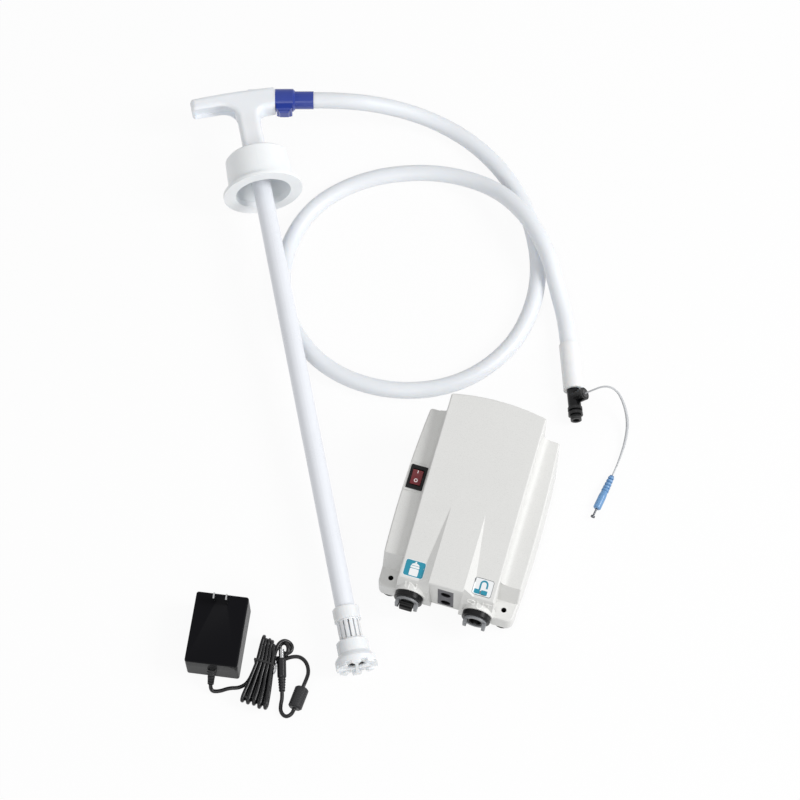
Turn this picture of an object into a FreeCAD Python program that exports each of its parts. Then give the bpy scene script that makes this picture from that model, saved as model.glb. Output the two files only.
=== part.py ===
import FreeCAD, Part
import math
import os

# Bottled water pump system: a pump case with its works, a suction wand with hose and tee, a wall adapter.
# Millimetres. Origin: on the floor, midway between the two front screw holes.
# +X is right, +Y is to the rear, +Z is up.

V = FreeCAD.Vector
X_AXIS = V(1, 0, 0)
Y_AXIS = V(0, 1, 0)
Z_AXIS = V(0, 0, 1)

# Pump case: outside
CASE_WALL = 2.5
CASE_BOTTOM_Z = 6.0
FIT_GAP = 0.3
SHELF_HALF_FRONT = 70.5
SHELF_HALF_MID = 72.5
SHELF_HALF_REAR = 68.3
SHELF_FRONT_Y = -11.0
SHELF_MID_Y = 85.0
SHELF_REAR_Y = 168.0
SHELF_CORNER_R = 7.0
SHELF_REAR_CORNER_R = 3.0
INNER_CORNER_R = 0.6
PAD_TOP_Z = 25.5
PAD_REAR_Y = 9.5
FACET_TOP_Y = 17.5
SHELF_FRONT_Z = 47.0
SHELF_MID_Z = 67.5
SHELF_REAR_Z = 84.0
CENTRE_HALF = 50.0
CENTRE_FRONT_Y = -6.0
CENTRE_FRONT_Z = 56.5
CENTRE_REAR_Y = 180.5
CENTRE_REAR_Z = 105.0
CENTRE_REAR_BOW = 5.0
VALLEY_START_Y = 73.0
VALLEY_HALF = 17.7
VALLEY_FOOT_HALF = 28.7
LOBE_FRONT_Z = 50.3
LOBE_FRONT_Y = -10.6
LOBE_CREST_Y = -5.3
BAND_BOTTOM_Z = 39.0
RECESS_HALF_FOOT = 14.5
RECESS_HALF_TOP = 18.0
COVE_R = 8.0
CENTRE_EDGE_R = 1.8
SHELF_EDGE_R = 1.8

# Feet and fasteners
SCREW_HOLE_HALF = 59.5
SCREW_HOLE_R = 2.75
REAR_FOOT_HALF = 55.0
REAR_FOOT_Y = 148.0
FOOT_R = 10.5
FOOT_NECK_R = 5.0
BOSS_WALL = 2.4
COVER_SCREW_R = 1.6
COVER_SCREW_HEAD_R = 3.2
COVER_SCREW_HEAD_H = 2.0
COVER_SCREW_LENGTH = 18.0
COVER_SCREW_FRONT_HALF = 54.0
COVER_SCREW_FRONT_Y = 30.0
COVER_SCREW_REAR_HALF = 30.0
COVER_SCREW_REAR_Y = 160.0
PAN_THICKNESS = 2.5
PAN_RIM_H = 7.0
PAN_RIM_WALL = 2.0

# Ports
PORT_HALF = 35.5
PORT_Z = 28.6
PORT_R = 14.7
PORT_FRONT_Y = -20.3
PORT_BODY_R = 11.5
PORT_BORE_R = 6.0
PORT_FLOW_R = 2.6
PORT_BARB_R = 4.2
PORT_BARB_END_Y = 12.0
COLLET_R = 8.0
COLLET_INNER_R = 6.6
COLLET_RISE = 1.2
COLLET_NOTCH = 3.0
HOOD_WALL = 1.6
HOOD_FRONT_Y = -14.2
SEAL_SECTION_R = 0.9
SEAL_BEHIND_FACE = 12.0
CLIP_R = 11.8
CLIP_INNER_R = 9.0
CLIP_THICKNESS = 2.2
CLIP_PRONG_WIDTH = 4.2
CLIP_PRONG_HEIGHT = 8.0
CLIP_PRONG_LENGTH = 5.5
CLIP_TONGUE_WIDTH = 2.6
CLIP_TONGUE_HEIGHT = 5.0
CLIP_TONGUE_LENGTH = 9.0
PLUG_GRIP_WIDTH = 13.4
PLUG_GRIP_HEIGHT = 9.6
PLUG_GRIP_LENGTH = 7.6
PLUG_RIB_PITCH = 2.4
PLUG_RIB_COUNT = 3
PLUG_NOSE_LENGTH = 9.0
SLIDE_GAP = 0.05

# Jacks
JACK_PANEL_HALF = 8.3
JACK_PANEL_BOTTOM_Z = 8.0
JACK_PANEL_TOP_Z = 48.0
JACK_PANEL_DEPTH = 16.0
JACK_PANEL_RECESS = 0.5
JACK_UPPER_Z = 34.8
JACK_LOWER_Z = 14.5
JACK_RECESS_R = 5.2
JACK_RECESS_DEPTH = 3.0
JACK_CLEARANCE = 0.1
JACK_BORE_DEPTH = 10.0

# Rocker switch on the left shelf
SWITCH_X = -60.7
SWITCH_Y = 94.6
SWITCH_PAD_MARGIN = 2.2
SWITCH_PAD_RISE = 0.5
SWITCH_PAD_DEPTH = 4.0
SWITCH_PAD_R = 3.0
BEZEL_WIDTH = 17.5
BEZEL_LENGTH = 24.9
BEZEL_HEIGHT = 2.0
SWITCH_BODY_WIDTH = 13.4
SWITCH_BODY_LENGTH = 18.8
SWITCH_BODY_DEPTH = 16.0
SWITCH_WALL = 1.0
ROCKER_GAP = 0.35
ROCKER_THICKNESS = 5.0
ROCKER_RISE = 3.4
ROCKER_REST_TILT = 8.0
ROCKER_PIN_R = 1.2

# Pump and motor inside
WORKS_Z = 37.0
HEAD_FRONT_Y = 38.0
WORKS_HALF = 24.0
HEAD_LENGTH = 20.5
VALVE_PLATE_LENGTH = 6.0
DIAPHRAGM_LENGTH = 1.5
HOUSING_LENGTH = 34.0
HOUSING_BORE_R = 20.0
END_CAP_LENGTH = 4.0
CAN_R = 22.0
CAN_LENGTH = 62.0
CAN_WALL = 1.6
SHAFT_R = 3.0
RUNNING_GAP = 0.05
ARMATURE_R = 16.0
ARMATURE_LENGTH = 40.0
CAM_R = 8.2
CAM_LENGTH = 11.0
CAM_TILT = 3.0
CAM_SWEEP_GAP = 0.75
BEARING_WALL = 3.2
BEARING_LENGTH = 9.0
WOBBLE_R = 15.0
WOBBLE_DISC = 4.0
PISTON_COUNT = 3
PISTON_RING_R = 9.0
PISTON_R = 4.6
PISTON_LENGTH = 3.0
CHAMBER_R = 5.4
CHAMBER_DEPTH = 2.0
OUTLET_CHAMBER_R = 6.5
INLET_CHAMBER_R = 20.0
HEAD_CHAMBER_DEPTH = 8.0
VALVE_DISC = 1.2
HEAD_SCREW_HALF = 20.5
HEAD_SCREW_R = 1.5
HEAD_SCREW_HEAD_R = 2.8
HEAD_SCREW_HEAD_H = 2.2
HEAD_SCREW_GAP = 0.1
HEAD_SCREW_BITE = 12.0
MANIFOLD_R = 6.5
MANIFOLD_BARB_LENGTH = 8.0
FLOW_TUBE_WALL = 1.7
PRESSURE_SWITCH_R = 8.5
PRESSURE_SWITCH_LENGTH = 13.0
BOARD_X = 46.0
BOARD_Y = 96.0
BOARD_WIDTH = 28.0
BOARD_LENGTH = 66.0
BOARD_THICKNESS = 1.6
BOARD_POST_R = 3.0
BOARD_POST_H = 5.0

# Suction wand, in its own frame: x along the tube to the foot, y across, z up; x = 0 at the cap's open face
TUBE_R = 10.0
TUBE_WALL = 1.8
WAND_HEADING = -61.7
CAP_FACE_X = -322.4
CAP_FACE_Y = 380.5
FLANGE_R = 43.2
FLANGE_THICKNESS = 3.6
SKIRT_R_OPEN = 36.2
SKIRT_R_CROWN = 34.4
SKIRT_LENGTH = 45.0
SKIRT_WALL = 3.4
CAP_OPENING_R = 30.3
CAP_LIP_LENGTH = 7.0
CROWN_THICKNESS = 3.6
CROWN_EDGE_R = 2.6
CAP_HUB_R = 14.0
CAP_HUB_RISE = 4.0
CAP_HUB_DROP = 8.0
STEM_R = 12.3
HANDLE_REAR = -127.0
HANDLE_BOW = 0.8
HANDLE_ARCH = 3.0
GRIP_TIP = -60.0
GRIP_UNDER = -109.5
GRIP_THICKNESS = 24.6
GRIP_END_DROP = 1.5
CHANNEL_DEPTH = 6.0
CHANNEL_HALF = 9.6
CHANNEL_END_WALL = 3.0
CHANNEL_TURN = 115.0
ARM_TIP = 33.0
ARM_UNDER = -98.5
HANDLE_NECK_R = 17.0
HANDLE_EDGE_R = 6.0
GRIP_CORNER_R = 4.0
HANDLE_FLOW_R = 6.0
ARM_AXIS_X = -111.8
ARM_LEAN = 11.0
COUPLING_R = 12.6
COUPLING_LENGTH = 21.8
COUPLING_CHAMFER = 2.4
INSERT_R = 9.9
INSERT_LENGTH = 20.2
INSERT_SOCKET = 6.0
INSERT_SPIGOT_R = 6.9
INSERT_BORE_R = 4.5
LATCH_START = 3.8
LATCH_LENGTH = 12.4
LATCH_WIDTH = 13.0
LATCH_REACH = 18.7
LATCH_GUARD = 4.0
LATCH_GUARD_WALL = 2.4
LATCH_BEVEL = 1.8
LATCH_TRAVEL = 2.0
LATCH_FLOOR = 7.2
COLLAR_START = 482.5
COLLAR_R = 13.6
COLLAR_LENGTH = 14.0
TUBE_SEAT = 9.0
CAGE_R = 11.8
CAGE_BORE_R = 9.0
CAGE_LENGTH = 21.5
CAGE_SLOTS = 14
CAGE_SLOT_WIDTH = 1.5
CAGE_END_BAND = 1.5
CAGE_SOCKET = 3.0
REED_STEM_R = 2.6
FLOAT_R = 7.6
FLOAT_LENGTH = 8.0
FLOAT_GAP = 0.6
FOOT_COLLAR_R = 16.2
FOOT_COLLAR_LENGTH = 14.0
FOOT_FLARE_LENGTH = 5.0
FOOT_FLANGE_R = 21.0
FOOT_FLANGE_LENGTH = 10.0
FOOT_BORE_R = 12.0
FOOT_SEAT_R = 8.5
FOOT_SEAT_THICKNESS = 2.5
FOOT_MOUTH_R = 14.5
FOOT_MOUTH_DEPTH = 4.0
FOOT_NOTCH_COUNT = 8
FOOT_NOTCH_WIDTH = 7.0
FOOT_NOTCH_DEPTH = 3.5
FOOT_BAR_WIDTH = 3.0
POPPET_R = 10.4
POPPET_THICKNESS = 2.0
SPIDER_THICKNESS = 2.0

# Hose end: sleeve and tee, in their own frame along the tee's run
TEE_TOP_X = 40.2
TEE_TOP_Y = 315.6
TEE_HEADING = -69.3
SLEEVE_R = 10.2
SLEEVE_LENGTH = 53.5
TEE_RUN_R = 6.9
TEE_RUN_LENGTH = 21.0
TEE_BARB_LENGTH = 14.0
TEE_BARB_R = 5.2
TEE_FLOW_R = 3.6
TEE_BRANCH_AT = 9.5
TEE_BRANCH_R = 6.9
TEE_BRANCH_REACH = 14.5
TEE_BRANCH_LIFT = 42.0
TEE_FLANGE_R = 7.8
TEE_FLANGE_LENGTH = 3.2
TEE_GROOVE_R = 6.0
TEE_GROOVE_LENGTH = 2.4
TEE_NOSE_R = 5.85
TEE_NOSE_LENGTH = 5.8
GLAND_R = 4.4
GLAND_THICKNESS = 1.2

# Wall adapter, in its own frame: centre of its underside, x along its width
ADAPTER_X = -208.3
ADAPTER_Y = -106.8
ADAPTER_HEADING = 9.5
ADAPTER_WIDTH = 53.4
ADAPTER_LENGTH = 75.3
ADAPTER_HEIGHT = 35.0
ADAPTER_WALL = 2.2
ADAPTER_LID_HEIGHT = 12.0
ADAPTER_CORNER_R = 2.5
BLADE_PITCH = 12.7
BLADE_WIDTH = 6.35
BLADE_THICKNESS = 1.5
BLADE_LENGTH = 16.5
BLADE_HOLE_R = 1.5
BLADE_MID_X = -0.3
BLADE_MID_Y = 29.3
RELIEF_Z = 17.0
RELIEF_TILT = 40.0
RELIEF_ROOT_R = 4.0
RELIEF_TIP_R = 3.2
RELIEF_LENGTH = 14.5
RELIEF_COLLAR_R = 4.9
RELIEF_COLLAR_LENGTH = 4.0

# Barrel plug, ferrite and float plug
PLUG_TIP = V(-144.2, -99.3, 7.5)
PLUG_TAIL = V(-130.1, -140.2, 3.3)
PLUG_BARREL_R = 2.75
PLUG_BARREL_LENGTH = 9.5
PLUG_BARREL_BORE_R = 1.3
PLUG_BODY_R = 4.6
PLUG_BODY_LENGTH = 20.0
FERRITE_TAIL = V(-112.1, -154.6, 7.2)
FERRITE_TOP = V(-111.2, -131.8, 7.2)
FERRITE_R = 7.1
FLOAT_PLUG_TAIL = V(123.9, 184.0, 4.2)
FLOAT_PLUG_HEADING = -98.0
FLOAT_PLUG_R = 4.1
FLOAT_PLUG_RELIEF_R = 4.0
FLOAT_PLUG_RELIEF_LENGTH = 19.0
FLOAT_PLUG_BODY_LENGTH = 21.5
FLOAT_PIN_R = 1.0
FLOAT_PIN_LENGTH = 10.5
FLOAT_PIN_HEAD_R = 2.25
FLOAT_PIN_HEAD_LENGTH = 1.4

# Cords
ARC_SHARE = 0.45
HOSE_R = 9.0
LEAD_R = 1.2
CORD_R = 2.0
HANK_HEIGHT = 15.0
TIE_R = 1.0

# Hose route after the wand's coupling, over the floor, once round, over itself and into the sleeve
HOSE_ROUTE = [
    (-222, 536, 28), (-172, 542, 11), (-117, 524, 9), (-66, 486, 9), (-27, 431, 9),
    (-7, 366, 9), (-15, 295, 9), (-58, 235, 9), (-126, 206, 9), (-200, 212, 9), (-259, 257, 9),
    (-286, 326, 9), (-277, 397, 9), (-231, 450, 9), (-165, 480, 9), (-100, 479, 16), (-52, 452, 31),
    (-12, 412, 31), (14, 369, 16),
]
LEAD_ROUTE = [
    (91.5, 271, 30.5), (104.5, 272, 24.5), (116, 262, 15), (124.5, 246, 7.5),
    (127, 226, 3), (126.2, 205, 2.6),
]
ADAPTER_LEAD_ROUTE = [
    (-199.2, -160.6, 2.9), (-191.0, -158.6, 2.2), (-182.0, -151.6, 2.2), (-174.5, -147.9, 2.2),
]
ADAPTER_LEAD_END = V(-166.6, -147.0, 2.4)
PLUG_LEAD_START = 7.5
PLUG_LEAD_ROUTE = [
    (-126.0, -155.6, 2.3), (-119.6, -162.0, 3.2),
]
FERRITE_LEAD_IN = 4.4
FERRITE_LEAD_OUT = 7.6
FERRITE_LEAD_ROUTE = [
    (-111.2, -113.5, 4.0), (-117.0, -104.0, 2.2), (-126.0, -98.6, 2.2), (-135.5, -97.0, 2.2),
    (-143.0, -93.6, 2.6), (-148.6, -94.4, 4.5),
]
FERRITE_LEAD_END = V(-152.2, -99.0, 7.0)
HANK_OUTLINE = [
    (-167.5, -93), (-163, -90), (-155, -90), (-151.5, -93), (-149.5, -104), (-145.5, -119), (-142.5, -135),
    (-137, -150), (-136.5, -161), (-142, -165.5), (-158, -167), (-167, -168), (-169, -164), (-167.5, -149),
    (-166, -125), (-167.5, -108),
]
HANK_TIE_Y = -119.0
HANK_WAIST_LEFT = -166.0
HANK_WAIST_RIGHT = -145.4
HANK_FLOOR_Z = 0.2
HANK_BEVEL = 3.0


def box(x0, x1, y0, y1, z0, z1):
    return Part.makeBox(x1 - x0, y1 - y0, z1 - z0, V(x0, y0, z0))


def rod(start, direction, radius, length):
    return Part.makeCylinder(radius, length, start, direction)


def pipe(start, direction, outer, inner, length):
    return rod(start, direction, outer, length).cut(rod(start, direction, inner, length))


def fuse(shapes):
    whole = shapes[0]
    for shape in shapes[1:]:
        whole = whole.fuse(shape)
    return whole.removeSplitter()


def cut(shape, tools):
    for tool in tools:
        shape = shape.cut(tool)
    return shape


def mirrored(shape):
    return shape.mirror(V(0, 0, 0), X_AXIS)


def turned(shape, placement):
    moved = shape.copy()
    moved.Placement = placement.multiply(moved.Placement)
    return moved


def extrude_outline(points, direction):
    wire = Part.makePolygon(points + [points[0]])
    return Part.Face(wire).extrude(direction)


def revolve_outline(points):
    # points are (x, r) pairs; the solid is turned about the x axis
    outline = [V(x, 0, r) for x, r in points]
    face = Part.Face(Part.makePolygon(outline + [outline[0]]))
    return face.revolve(V(0, 0, 0), X_AXIS, 360)


def placement_along(origin, heading, pitch, roll=0.0):
    spin = FreeCAD.Rotation(Z_AXIS, heading)
    dip = FreeCAD.Rotation(Y_AXIS, pitch)
    twist = FreeCAD.Rotation(X_AXIS, roll)
    return FreeCAD.Placement(origin, spin.multiply(dip).multiply(twist))


def placement_between(start, end):
    along = end.sub(start)
    heading = math.degrees(math.atan2(along.y, along.x))
    pitch = -math.degrees(math.atan2(along.z, math.hypot(along.x, along.y)))
    return placement_along(start, heading, pitch)


def smooth_path(points):
    # straight runs joined by tangent arcs, each as large as its two runs allow
    edges = []
    radii = []
    length = 0.0
    last = points[0]
    for before, corner, after in zip(points, points[1:], points[2:]):
        into = corner.sub(before)
        out = after.sub(corner)
        reach = ARC_SHARE * min(into.Length, out.Length)
        into.normalize()
        out.normalize()
        turn = into.getAngle(out)
        bend = reach / math.tan(turn / 2)
        start = corner.sub(into * reach)
        end = corner.add(out * reach)
        inward = out.sub(into)
        inward.normalize()
        middle = corner.add(inward * (bend / math.cos(turn / 2) - bend))
        edges.append(Part.LineSegment(last, start).toShape())
        edges.append(Part.Arc(start, middle, end).toShape())
        length += start.sub(last).Length + bend * turn
        radii.append(bend)
        last = end
    edges.append(Part.LineSegment(last, points[-1]).toShape())
    length += points[-1].sub(last).Length
    return Part.Wire(edges), length, radii


def swept_rod(points, radius):
    path = smooth_path(points)[0]
    section = Part.Wire(Part.makeCircle(radius, points[0], points[1].sub(points[0])))
    return path.makePipeShell([section], True, False)


def cord(name, points, radius):
    solid = swept_rod(points, radius)
    length, radii = smooth_path(points)[1:]
    share = solid.Volume / (math.pi * radius ** 2 * length)
    print(name, "length %.0f mm, volume share %.4f, radii" % (length, share), [round(r) for r in radii])
    return solid


def save(name, *solids):
    shape = solids[0] if len(solids) == 1 else Part.makeCompound(list(solids))
    good = shape.isValid() and all(s.isClosed() for s in shape.Solids)
    print(name, "solids", len(shape.Solids), "volume %.0f" % shape.Volume, "ok" if good else "BAD")
    shape.exportStep("parts/" + name + ".step")


def slope_z(y, y0, z0, y1, z1):
    return z0 + (z1 - z0) * (y - y0) / (y1 - y0)


def centre_z(y):
    return slope_z(y, CENTRE_FRONT_Y, CENTRE_FRONT_Z, CENTRE_REAR_Y, CENTRE_REAR_Z)


def shelf_plan(inset):
    front = SHELF_FRONT_Y + inset
    rear = SHELF_REAR_Y - inset
    half_front = SHELF_HALF_FRONT - inset
    half_mid = SHELF_HALF_MID - inset
    half_rear = SHELF_HALF_REAR - inset
    right = Part.Arc(V(half_front, front, 0), V(half_mid, SHELF_MID_Y, 0), V(half_rear, rear, 0)).toShape()
    left = Part.Arc(V(-half_rear, rear, 0), V(-half_mid, SHELF_MID_Y, 0), V(-half_front, front, 0)).toShape()
    back = Part.LineSegment(V(half_rear, rear, 0), V(-half_rear, rear, 0)).toShape()
    nose = Part.LineSegment(V(-half_front, front, 0), V(half_front, front, 0)).toShape()
    return Part.Face(Part.Wire([right, back, left, nose]))


def shelf_profile(inset, half):
    # the side view of pad, facet and arched shelf, as a solid across the case
    low = CASE_BOTTOM_Z - 1.0
    beyond = SHELF_REAR_Y + 5
    points = [
        V(-half, SHELF_FRONT_Y - 10, low), V(-half, SHELF_FRONT_Y - 10, PAD_TOP_Z - inset),
        V(-half, PAD_REAR_Y + inset, PAD_TOP_Z - inset), V(-half, FACET_TOP_Y + inset, SHELF_FRONT_Z - inset),
    ]
    edges = [Part.LineSegment(a, b).toShape() for a, b in zip(points, points[1:])]
    middle = V(-half, SHELF_MID_Y, shelf_z(SHELF_MID_Y) - inset)
    rear = V(-half, beyond, shelf_z(beyond) - inset)
    edges.append(Part.Arc(points[-1], middle, rear).toShape())
    foot = V(-half, beyond, low)
    edges.append(Part.LineSegment(rear, foot).toShape())
    edges.append(Part.LineSegment(foot, points[0]).toShape())
    return Part.Face(Part.Wire(edges)).extrude(V(2 * half, 0, 0))


def vertical_edges(solid, corners):
    picked = []
    for edge in solid.Edges:
        a, b = edge.Vertexes[0].Point, edge.Vertexes[-1].Point
        if abs(a.x - b.x) < 0.01 and abs(a.y - b.y) < 0.01:
            if any(math.hypot(a.x - x, a.y - y) < 0.1 for x, y in corners):
                picked.append(edge)
    return picked


def shelf_block(inset):
    floor = CASE_BOTTOM_Z - 1.0 if inset else CASE_BOTTOM_Z
    plan = shelf_plan(inset)
    plan.translate(V(0, 0, floor))
    block = plan.extrude(V(0, 0, 100))
    front = SHELF_FRONT_Y + inset
    rear = SHELF_REAR_Y - inset
    nose = [(s * (SHELF_HALF_FRONT - inset), front) for s in (-1, 1)]
    back = [(s * (SHELF_HALF_REAR - inset), rear) for s in (-1, 1)]
    block = block.makeFillet(SHELF_CORNER_R - inset, vertical_edges(block, nose))
    back_r = max(SHELF_REAR_CORNER_R - inset, INNER_CORNER_R)
    block = block.makeFillet(back_r, vertical_edges(block, back))
    return block.common(shelf_profile(inset, 2 * SHELF_HALF_MID))


def edge_middle(edge):
    first, last = edge.ParameterRange
    return edge.valueAt((first + last) / 2)


def rounded_shelf():
    # the outer rims of shelves and pads are rounded; the facet between them keeps crisp ends
    block = shelf_block(0.0)
    rims = []
    for edge in block.Edges:
        middle = edge_middle(edge)
        upright = edge.BoundBox.XLength < 0.01 and edge.BoundBox.YLength < 0.01
        crisp = abs(middle.x) < 1.0 and SHELF_FRONT_Y + 1 < middle.y < SHELF_MID_Y
        if middle.z > CASE_BOTTOM_Z + 5 and not upright and not crisp:
            rims.append(edge)
    return block.makeFillet(SHELF_EDGE_R, rims)


def centre_block(inset):
    floor = CASE_BOTTOM_Z - 1.0 if inset else CASE_BOTTOM_Z
    half = CENTRE_HALF - inset
    front = LOBE_FRONT_Y + inset
    rear = CENTRE_REAR_Y - inset
    sides = [V(-half, rear, floor), V(-half, front, floor), V(half, front, floor), V(half, rear, floor)]
    edges = [Part.LineSegment(a, b).toShape() for a, b in zip(sides, sides[1:])]
    edges.append(Part.Arc(sides[3], V(0, rear + CENTRE_REAR_BOW, floor), sides[0]).toShape())
    block = Part.Face(Part.Wire(edges)).extrude(V(0, 0, 130))
    side = [V(-half - 1, front - 30, floor - 1), V(-half - 1, front - 30, centre_z(front - 30) - inset),
            V(-half - 1, rear + 30, centre_z(rear + 30) - inset), V(-half - 1, rear + 30, floor - 1)]
    return block.common(extrude_outline(side, V(2 * half + 2, 0, 0)))


def above_plane(a, b, c, reach=400.0):
    # a block whose underside lies on the plane through three points and which reaches up from it
    normal = b.sub(a).cross(c.sub(a))
    normal.normalize()
    if normal.z < 0:
        normal = normal * -1
    turn = FreeCAD.Rotation(Z_AXIS, normal)
    slab = Part.makeBox(reach, reach, reach, V(-reach / 2, -reach / 2, 0))
    slab.Placement = FreeCAD.Placement(a, turn)
    return slab


def lobe_cutter(inset):
    # everything above the lobe's sloping top and outward of the raised centre panel's flank
    drop = V(0, 0, -inset)
    start_z = centre_z(VALLEY_START_Y)
    head = V(VALLEY_HALF, VALLEY_START_Y, start_z).add(drop)
    crest = V(VALLEY_HALF, CENTRE_FRONT_Y, CENTRE_FRONT_Z).add(drop)
    trough = V(VALLEY_FOOT_HALF, CENTRE_FRONT_Y, LOBE_FRONT_Z).add(drop)
    aside = V(VALLEY_FOOT_HALF + 10, CENTRE_FRONT_Y, LOBE_FRONT_Z).add(drop)
    over_lobe = above_plane(head, trough, aside)
    over_flank = above_plane(head, crest, trough)
    return over_lobe.common(over_flank).common(box(5, 200, -100, VALLEY_START_Y, 0, 200))


def band_cutter(inset):
    # the steep band over each port leans back from the lobe's front to its crest
    start = VALLEY_HALF - COVE_R
    lean = (LOBE_CREST_Y - LOBE_FRONT_Y) / (LOBE_FRONT_Z - BAND_BOTTOM_Z)
    top_z = CENTRE_FRONT_Z + 5
    top_y = LOBE_FRONT_Y + lean * (top_z - BAND_BOTTOM_Z)
    outline = [V(start, LOBE_FRONT_Y - 5, BAND_BOTTOM_Z), V(start, LOBE_FRONT_Y + inset, BAND_BOTTOM_Z),
               V(start, top_y + inset, top_z), V(start, LOBE_FRONT_Y - 5, top_z)]
    band = extrude_outline(outline, V(CENTRE_HALF + 5 - start, 0, 0))
    return band.cut(recess_prism(inset, CENTRE_REAR_Y))


def recess_prism(inset, rear):
    # a wedge between the two lobes, a little wider at its top than at its foot
    rise = CENTRE_FRONT_Z - CASE_BOTTOM_Z
    draft = (RECESS_HALF_TOP - RECESS_HALF_FOOT) / rise
    low = RECESS_HALF_FOOT + inset - draft * CASE_BOTTOM_Z
    high = low + draft * CENTRE_REAR_Z
    front = LOBE_FRONT_Y - 5
    outline = [V(-low, front, 0), V(low, front, 0),
               V(high, front, CENTRE_REAR_Z), V(-high, front, CENTRE_REAR_Z)]
    return extrude_outline(outline, V(0, rear - front, 0))


def recess_cutter(inset):
    # the jack panel's wall stands back between the two lobes
    return recess_prism(inset, CENTRE_FRONT_Y + inset)


def pad_gap_cutter(inset):
    # the front pads stand forward only outside the lobes
    half = CENTRE_HALF + inset
    return box(-half, half, SHELF_FRONT_Y - 5, LOBE_FRONT_Y + inset, 0, 200)


def case_body(inset):
    centre = centre_block(inset)
    lobe = lobe_cutter(inset)
    band = band_cutter(inset)
    centre = cut(centre, [lobe, mirrored(lobe), band, mirrored(band), recess_cutter(inset)])
    shelf = shelf_block(inset) if inset else rounded_shelf()
    shelf = cut(shelf, [pad_gap_cutter(inset), recess_cutter(inset)])
    return fuse([shelf, centre])


def cove():
    # the concave sweep between the centre's flank and the arched shelf, turned about the shelf's own centre
    arc = shelf_arc().Curve
    low = arc.Radius - 1
    flank = CENTRE_HALF - 1
    corner = math.sqrt(0.5) * COVE_R
    far = CENTRE_HALF + COVE_R
    points = [V(far, 0, low), V(flank, 0, low), V(flank, 0, arc.Radius + COVE_R),
              V(CENTRE_HALF, 0, arc.Radius + COVE_R)]
    edges = [Part.LineSegment(a, b).toShape() for a, b in zip(points, points[1:])]
    middle = V(far - corner, 0, arc.Radius + COVE_R - corner)
    edges.append(Part.Arc(points[-1], middle, V(far, 0, arc.Radius)).toShape())
    edges.append(Part.LineSegment(V(far, 0, arc.Radius), points[0]).toShape())
    face = Part.Face(Part.Wire(edges))
    sweep = face.revolve(V(0, 0, 0), X_AXIS, 60)
    sweep.rotate(V(0, 0, 0), X_AXIS, -30)
    sweep.translate(V(0, arc.Center.y, arc.Center.z))
    return sweep.common(box(0, 100, FACET_TOP_Y, SHELF_REAR_Y, 0, 200))


def hood():
    radius = PORT_R + HOOD_WALL
    return rod(V(PORT_HALF, HOOD_FRONT_Y, PORT_Z), Y_AXIS, radius, LOBE_CREST_Y - HOOD_FRONT_Y)


def shelf_arc():
    front = V(0, FACET_TOP_Y, SHELF_FRONT_Z)
    return Part.Arc(front, V(0, SHELF_MID_Y, SHELF_MID_Z), V(0, SHELF_REAR_Y, SHELF_REAR_Z)).toShape()


def shelf_z(y):
    arc = shelf_arc().Curve
    return arc.Center.z + math.sqrt(arc.Radius ** 2 - (y - arc.Center.y) ** 2)


def switch_frame():
    y0 = SWITCH_Y - BEZEL_LENGTH / 2
    y1 = SWITCH_Y + BEZEL_LENGTH / 2
    rise = shelf_z(y1) - shelf_z(y0)
    lean = math.degrees(math.atan2(rise, y1 - y0))
    origin = V(SWITCH_X, SWITCH_Y, (shelf_z(y0) + shelf_z(y1)) / 2 + 0.8)
    return FreeCAD.Placement(origin, FreeCAD.Rotation(X_AXIS, lean))


def switch_pad():
    # the case rises a little round the switch's bezel
    half_w = BEZEL_WIDTH / 2 + SWITCH_PAD_MARGIN
    half_l = BEZEL_LENGTH / 2 + SWITCH_PAD_MARGIN
    pad = box(-half_w, half_w, -half_l, half_l, -SWITCH_PAD_DEPTH, SWITCH_PAD_RISE)
    pad = pad.makeFillet(SWITCH_PAD_R, [e for e in pad.Edges if e.BoundBox.ZLength > 1])
    return turned(pad, switch_frame())


def round_centre(body):
    # softens the centre's flanks, its rear rim and the crests of its front
    rims = []
    for edge in body.Edges:
        middle = edge_middle(edge)
        bounds = edge.BoundBox
        on_flank = abs(abs(middle.x) - CENTRE_HALF) < 0.05
        above_cove = middle.z > shelf_z(max(middle.y, FACET_TOP_Y)) + COVE_R + 1
        if on_flank and bounds.YLength > 20 and above_cove:
            rims.append(edge)
        elif middle.y > CENTRE_REAR_Y - 0.5 and middle.z > CASE_BOTTOM_Z + 5:
            rims.append(edge)
        elif bounds.XLength > 15 and middle.y < LOBE_CREST_Y + 1 and middle.z > LOBE_FRONT_Z - 1:
            rims.append(edge)
    return body.makeFillet(CENTRE_EDGE_R, rims)


def cover_screw_spots():
    front = [(side * COVER_SCREW_FRONT_HALF, COVER_SCREW_FRONT_Y) for side in (-1, 1)]
    rear = [(side * COVER_SCREW_REAR_HALF, COVER_SCREW_REAR_Y) for side in (-1, 1)]
    return front + rear


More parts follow.
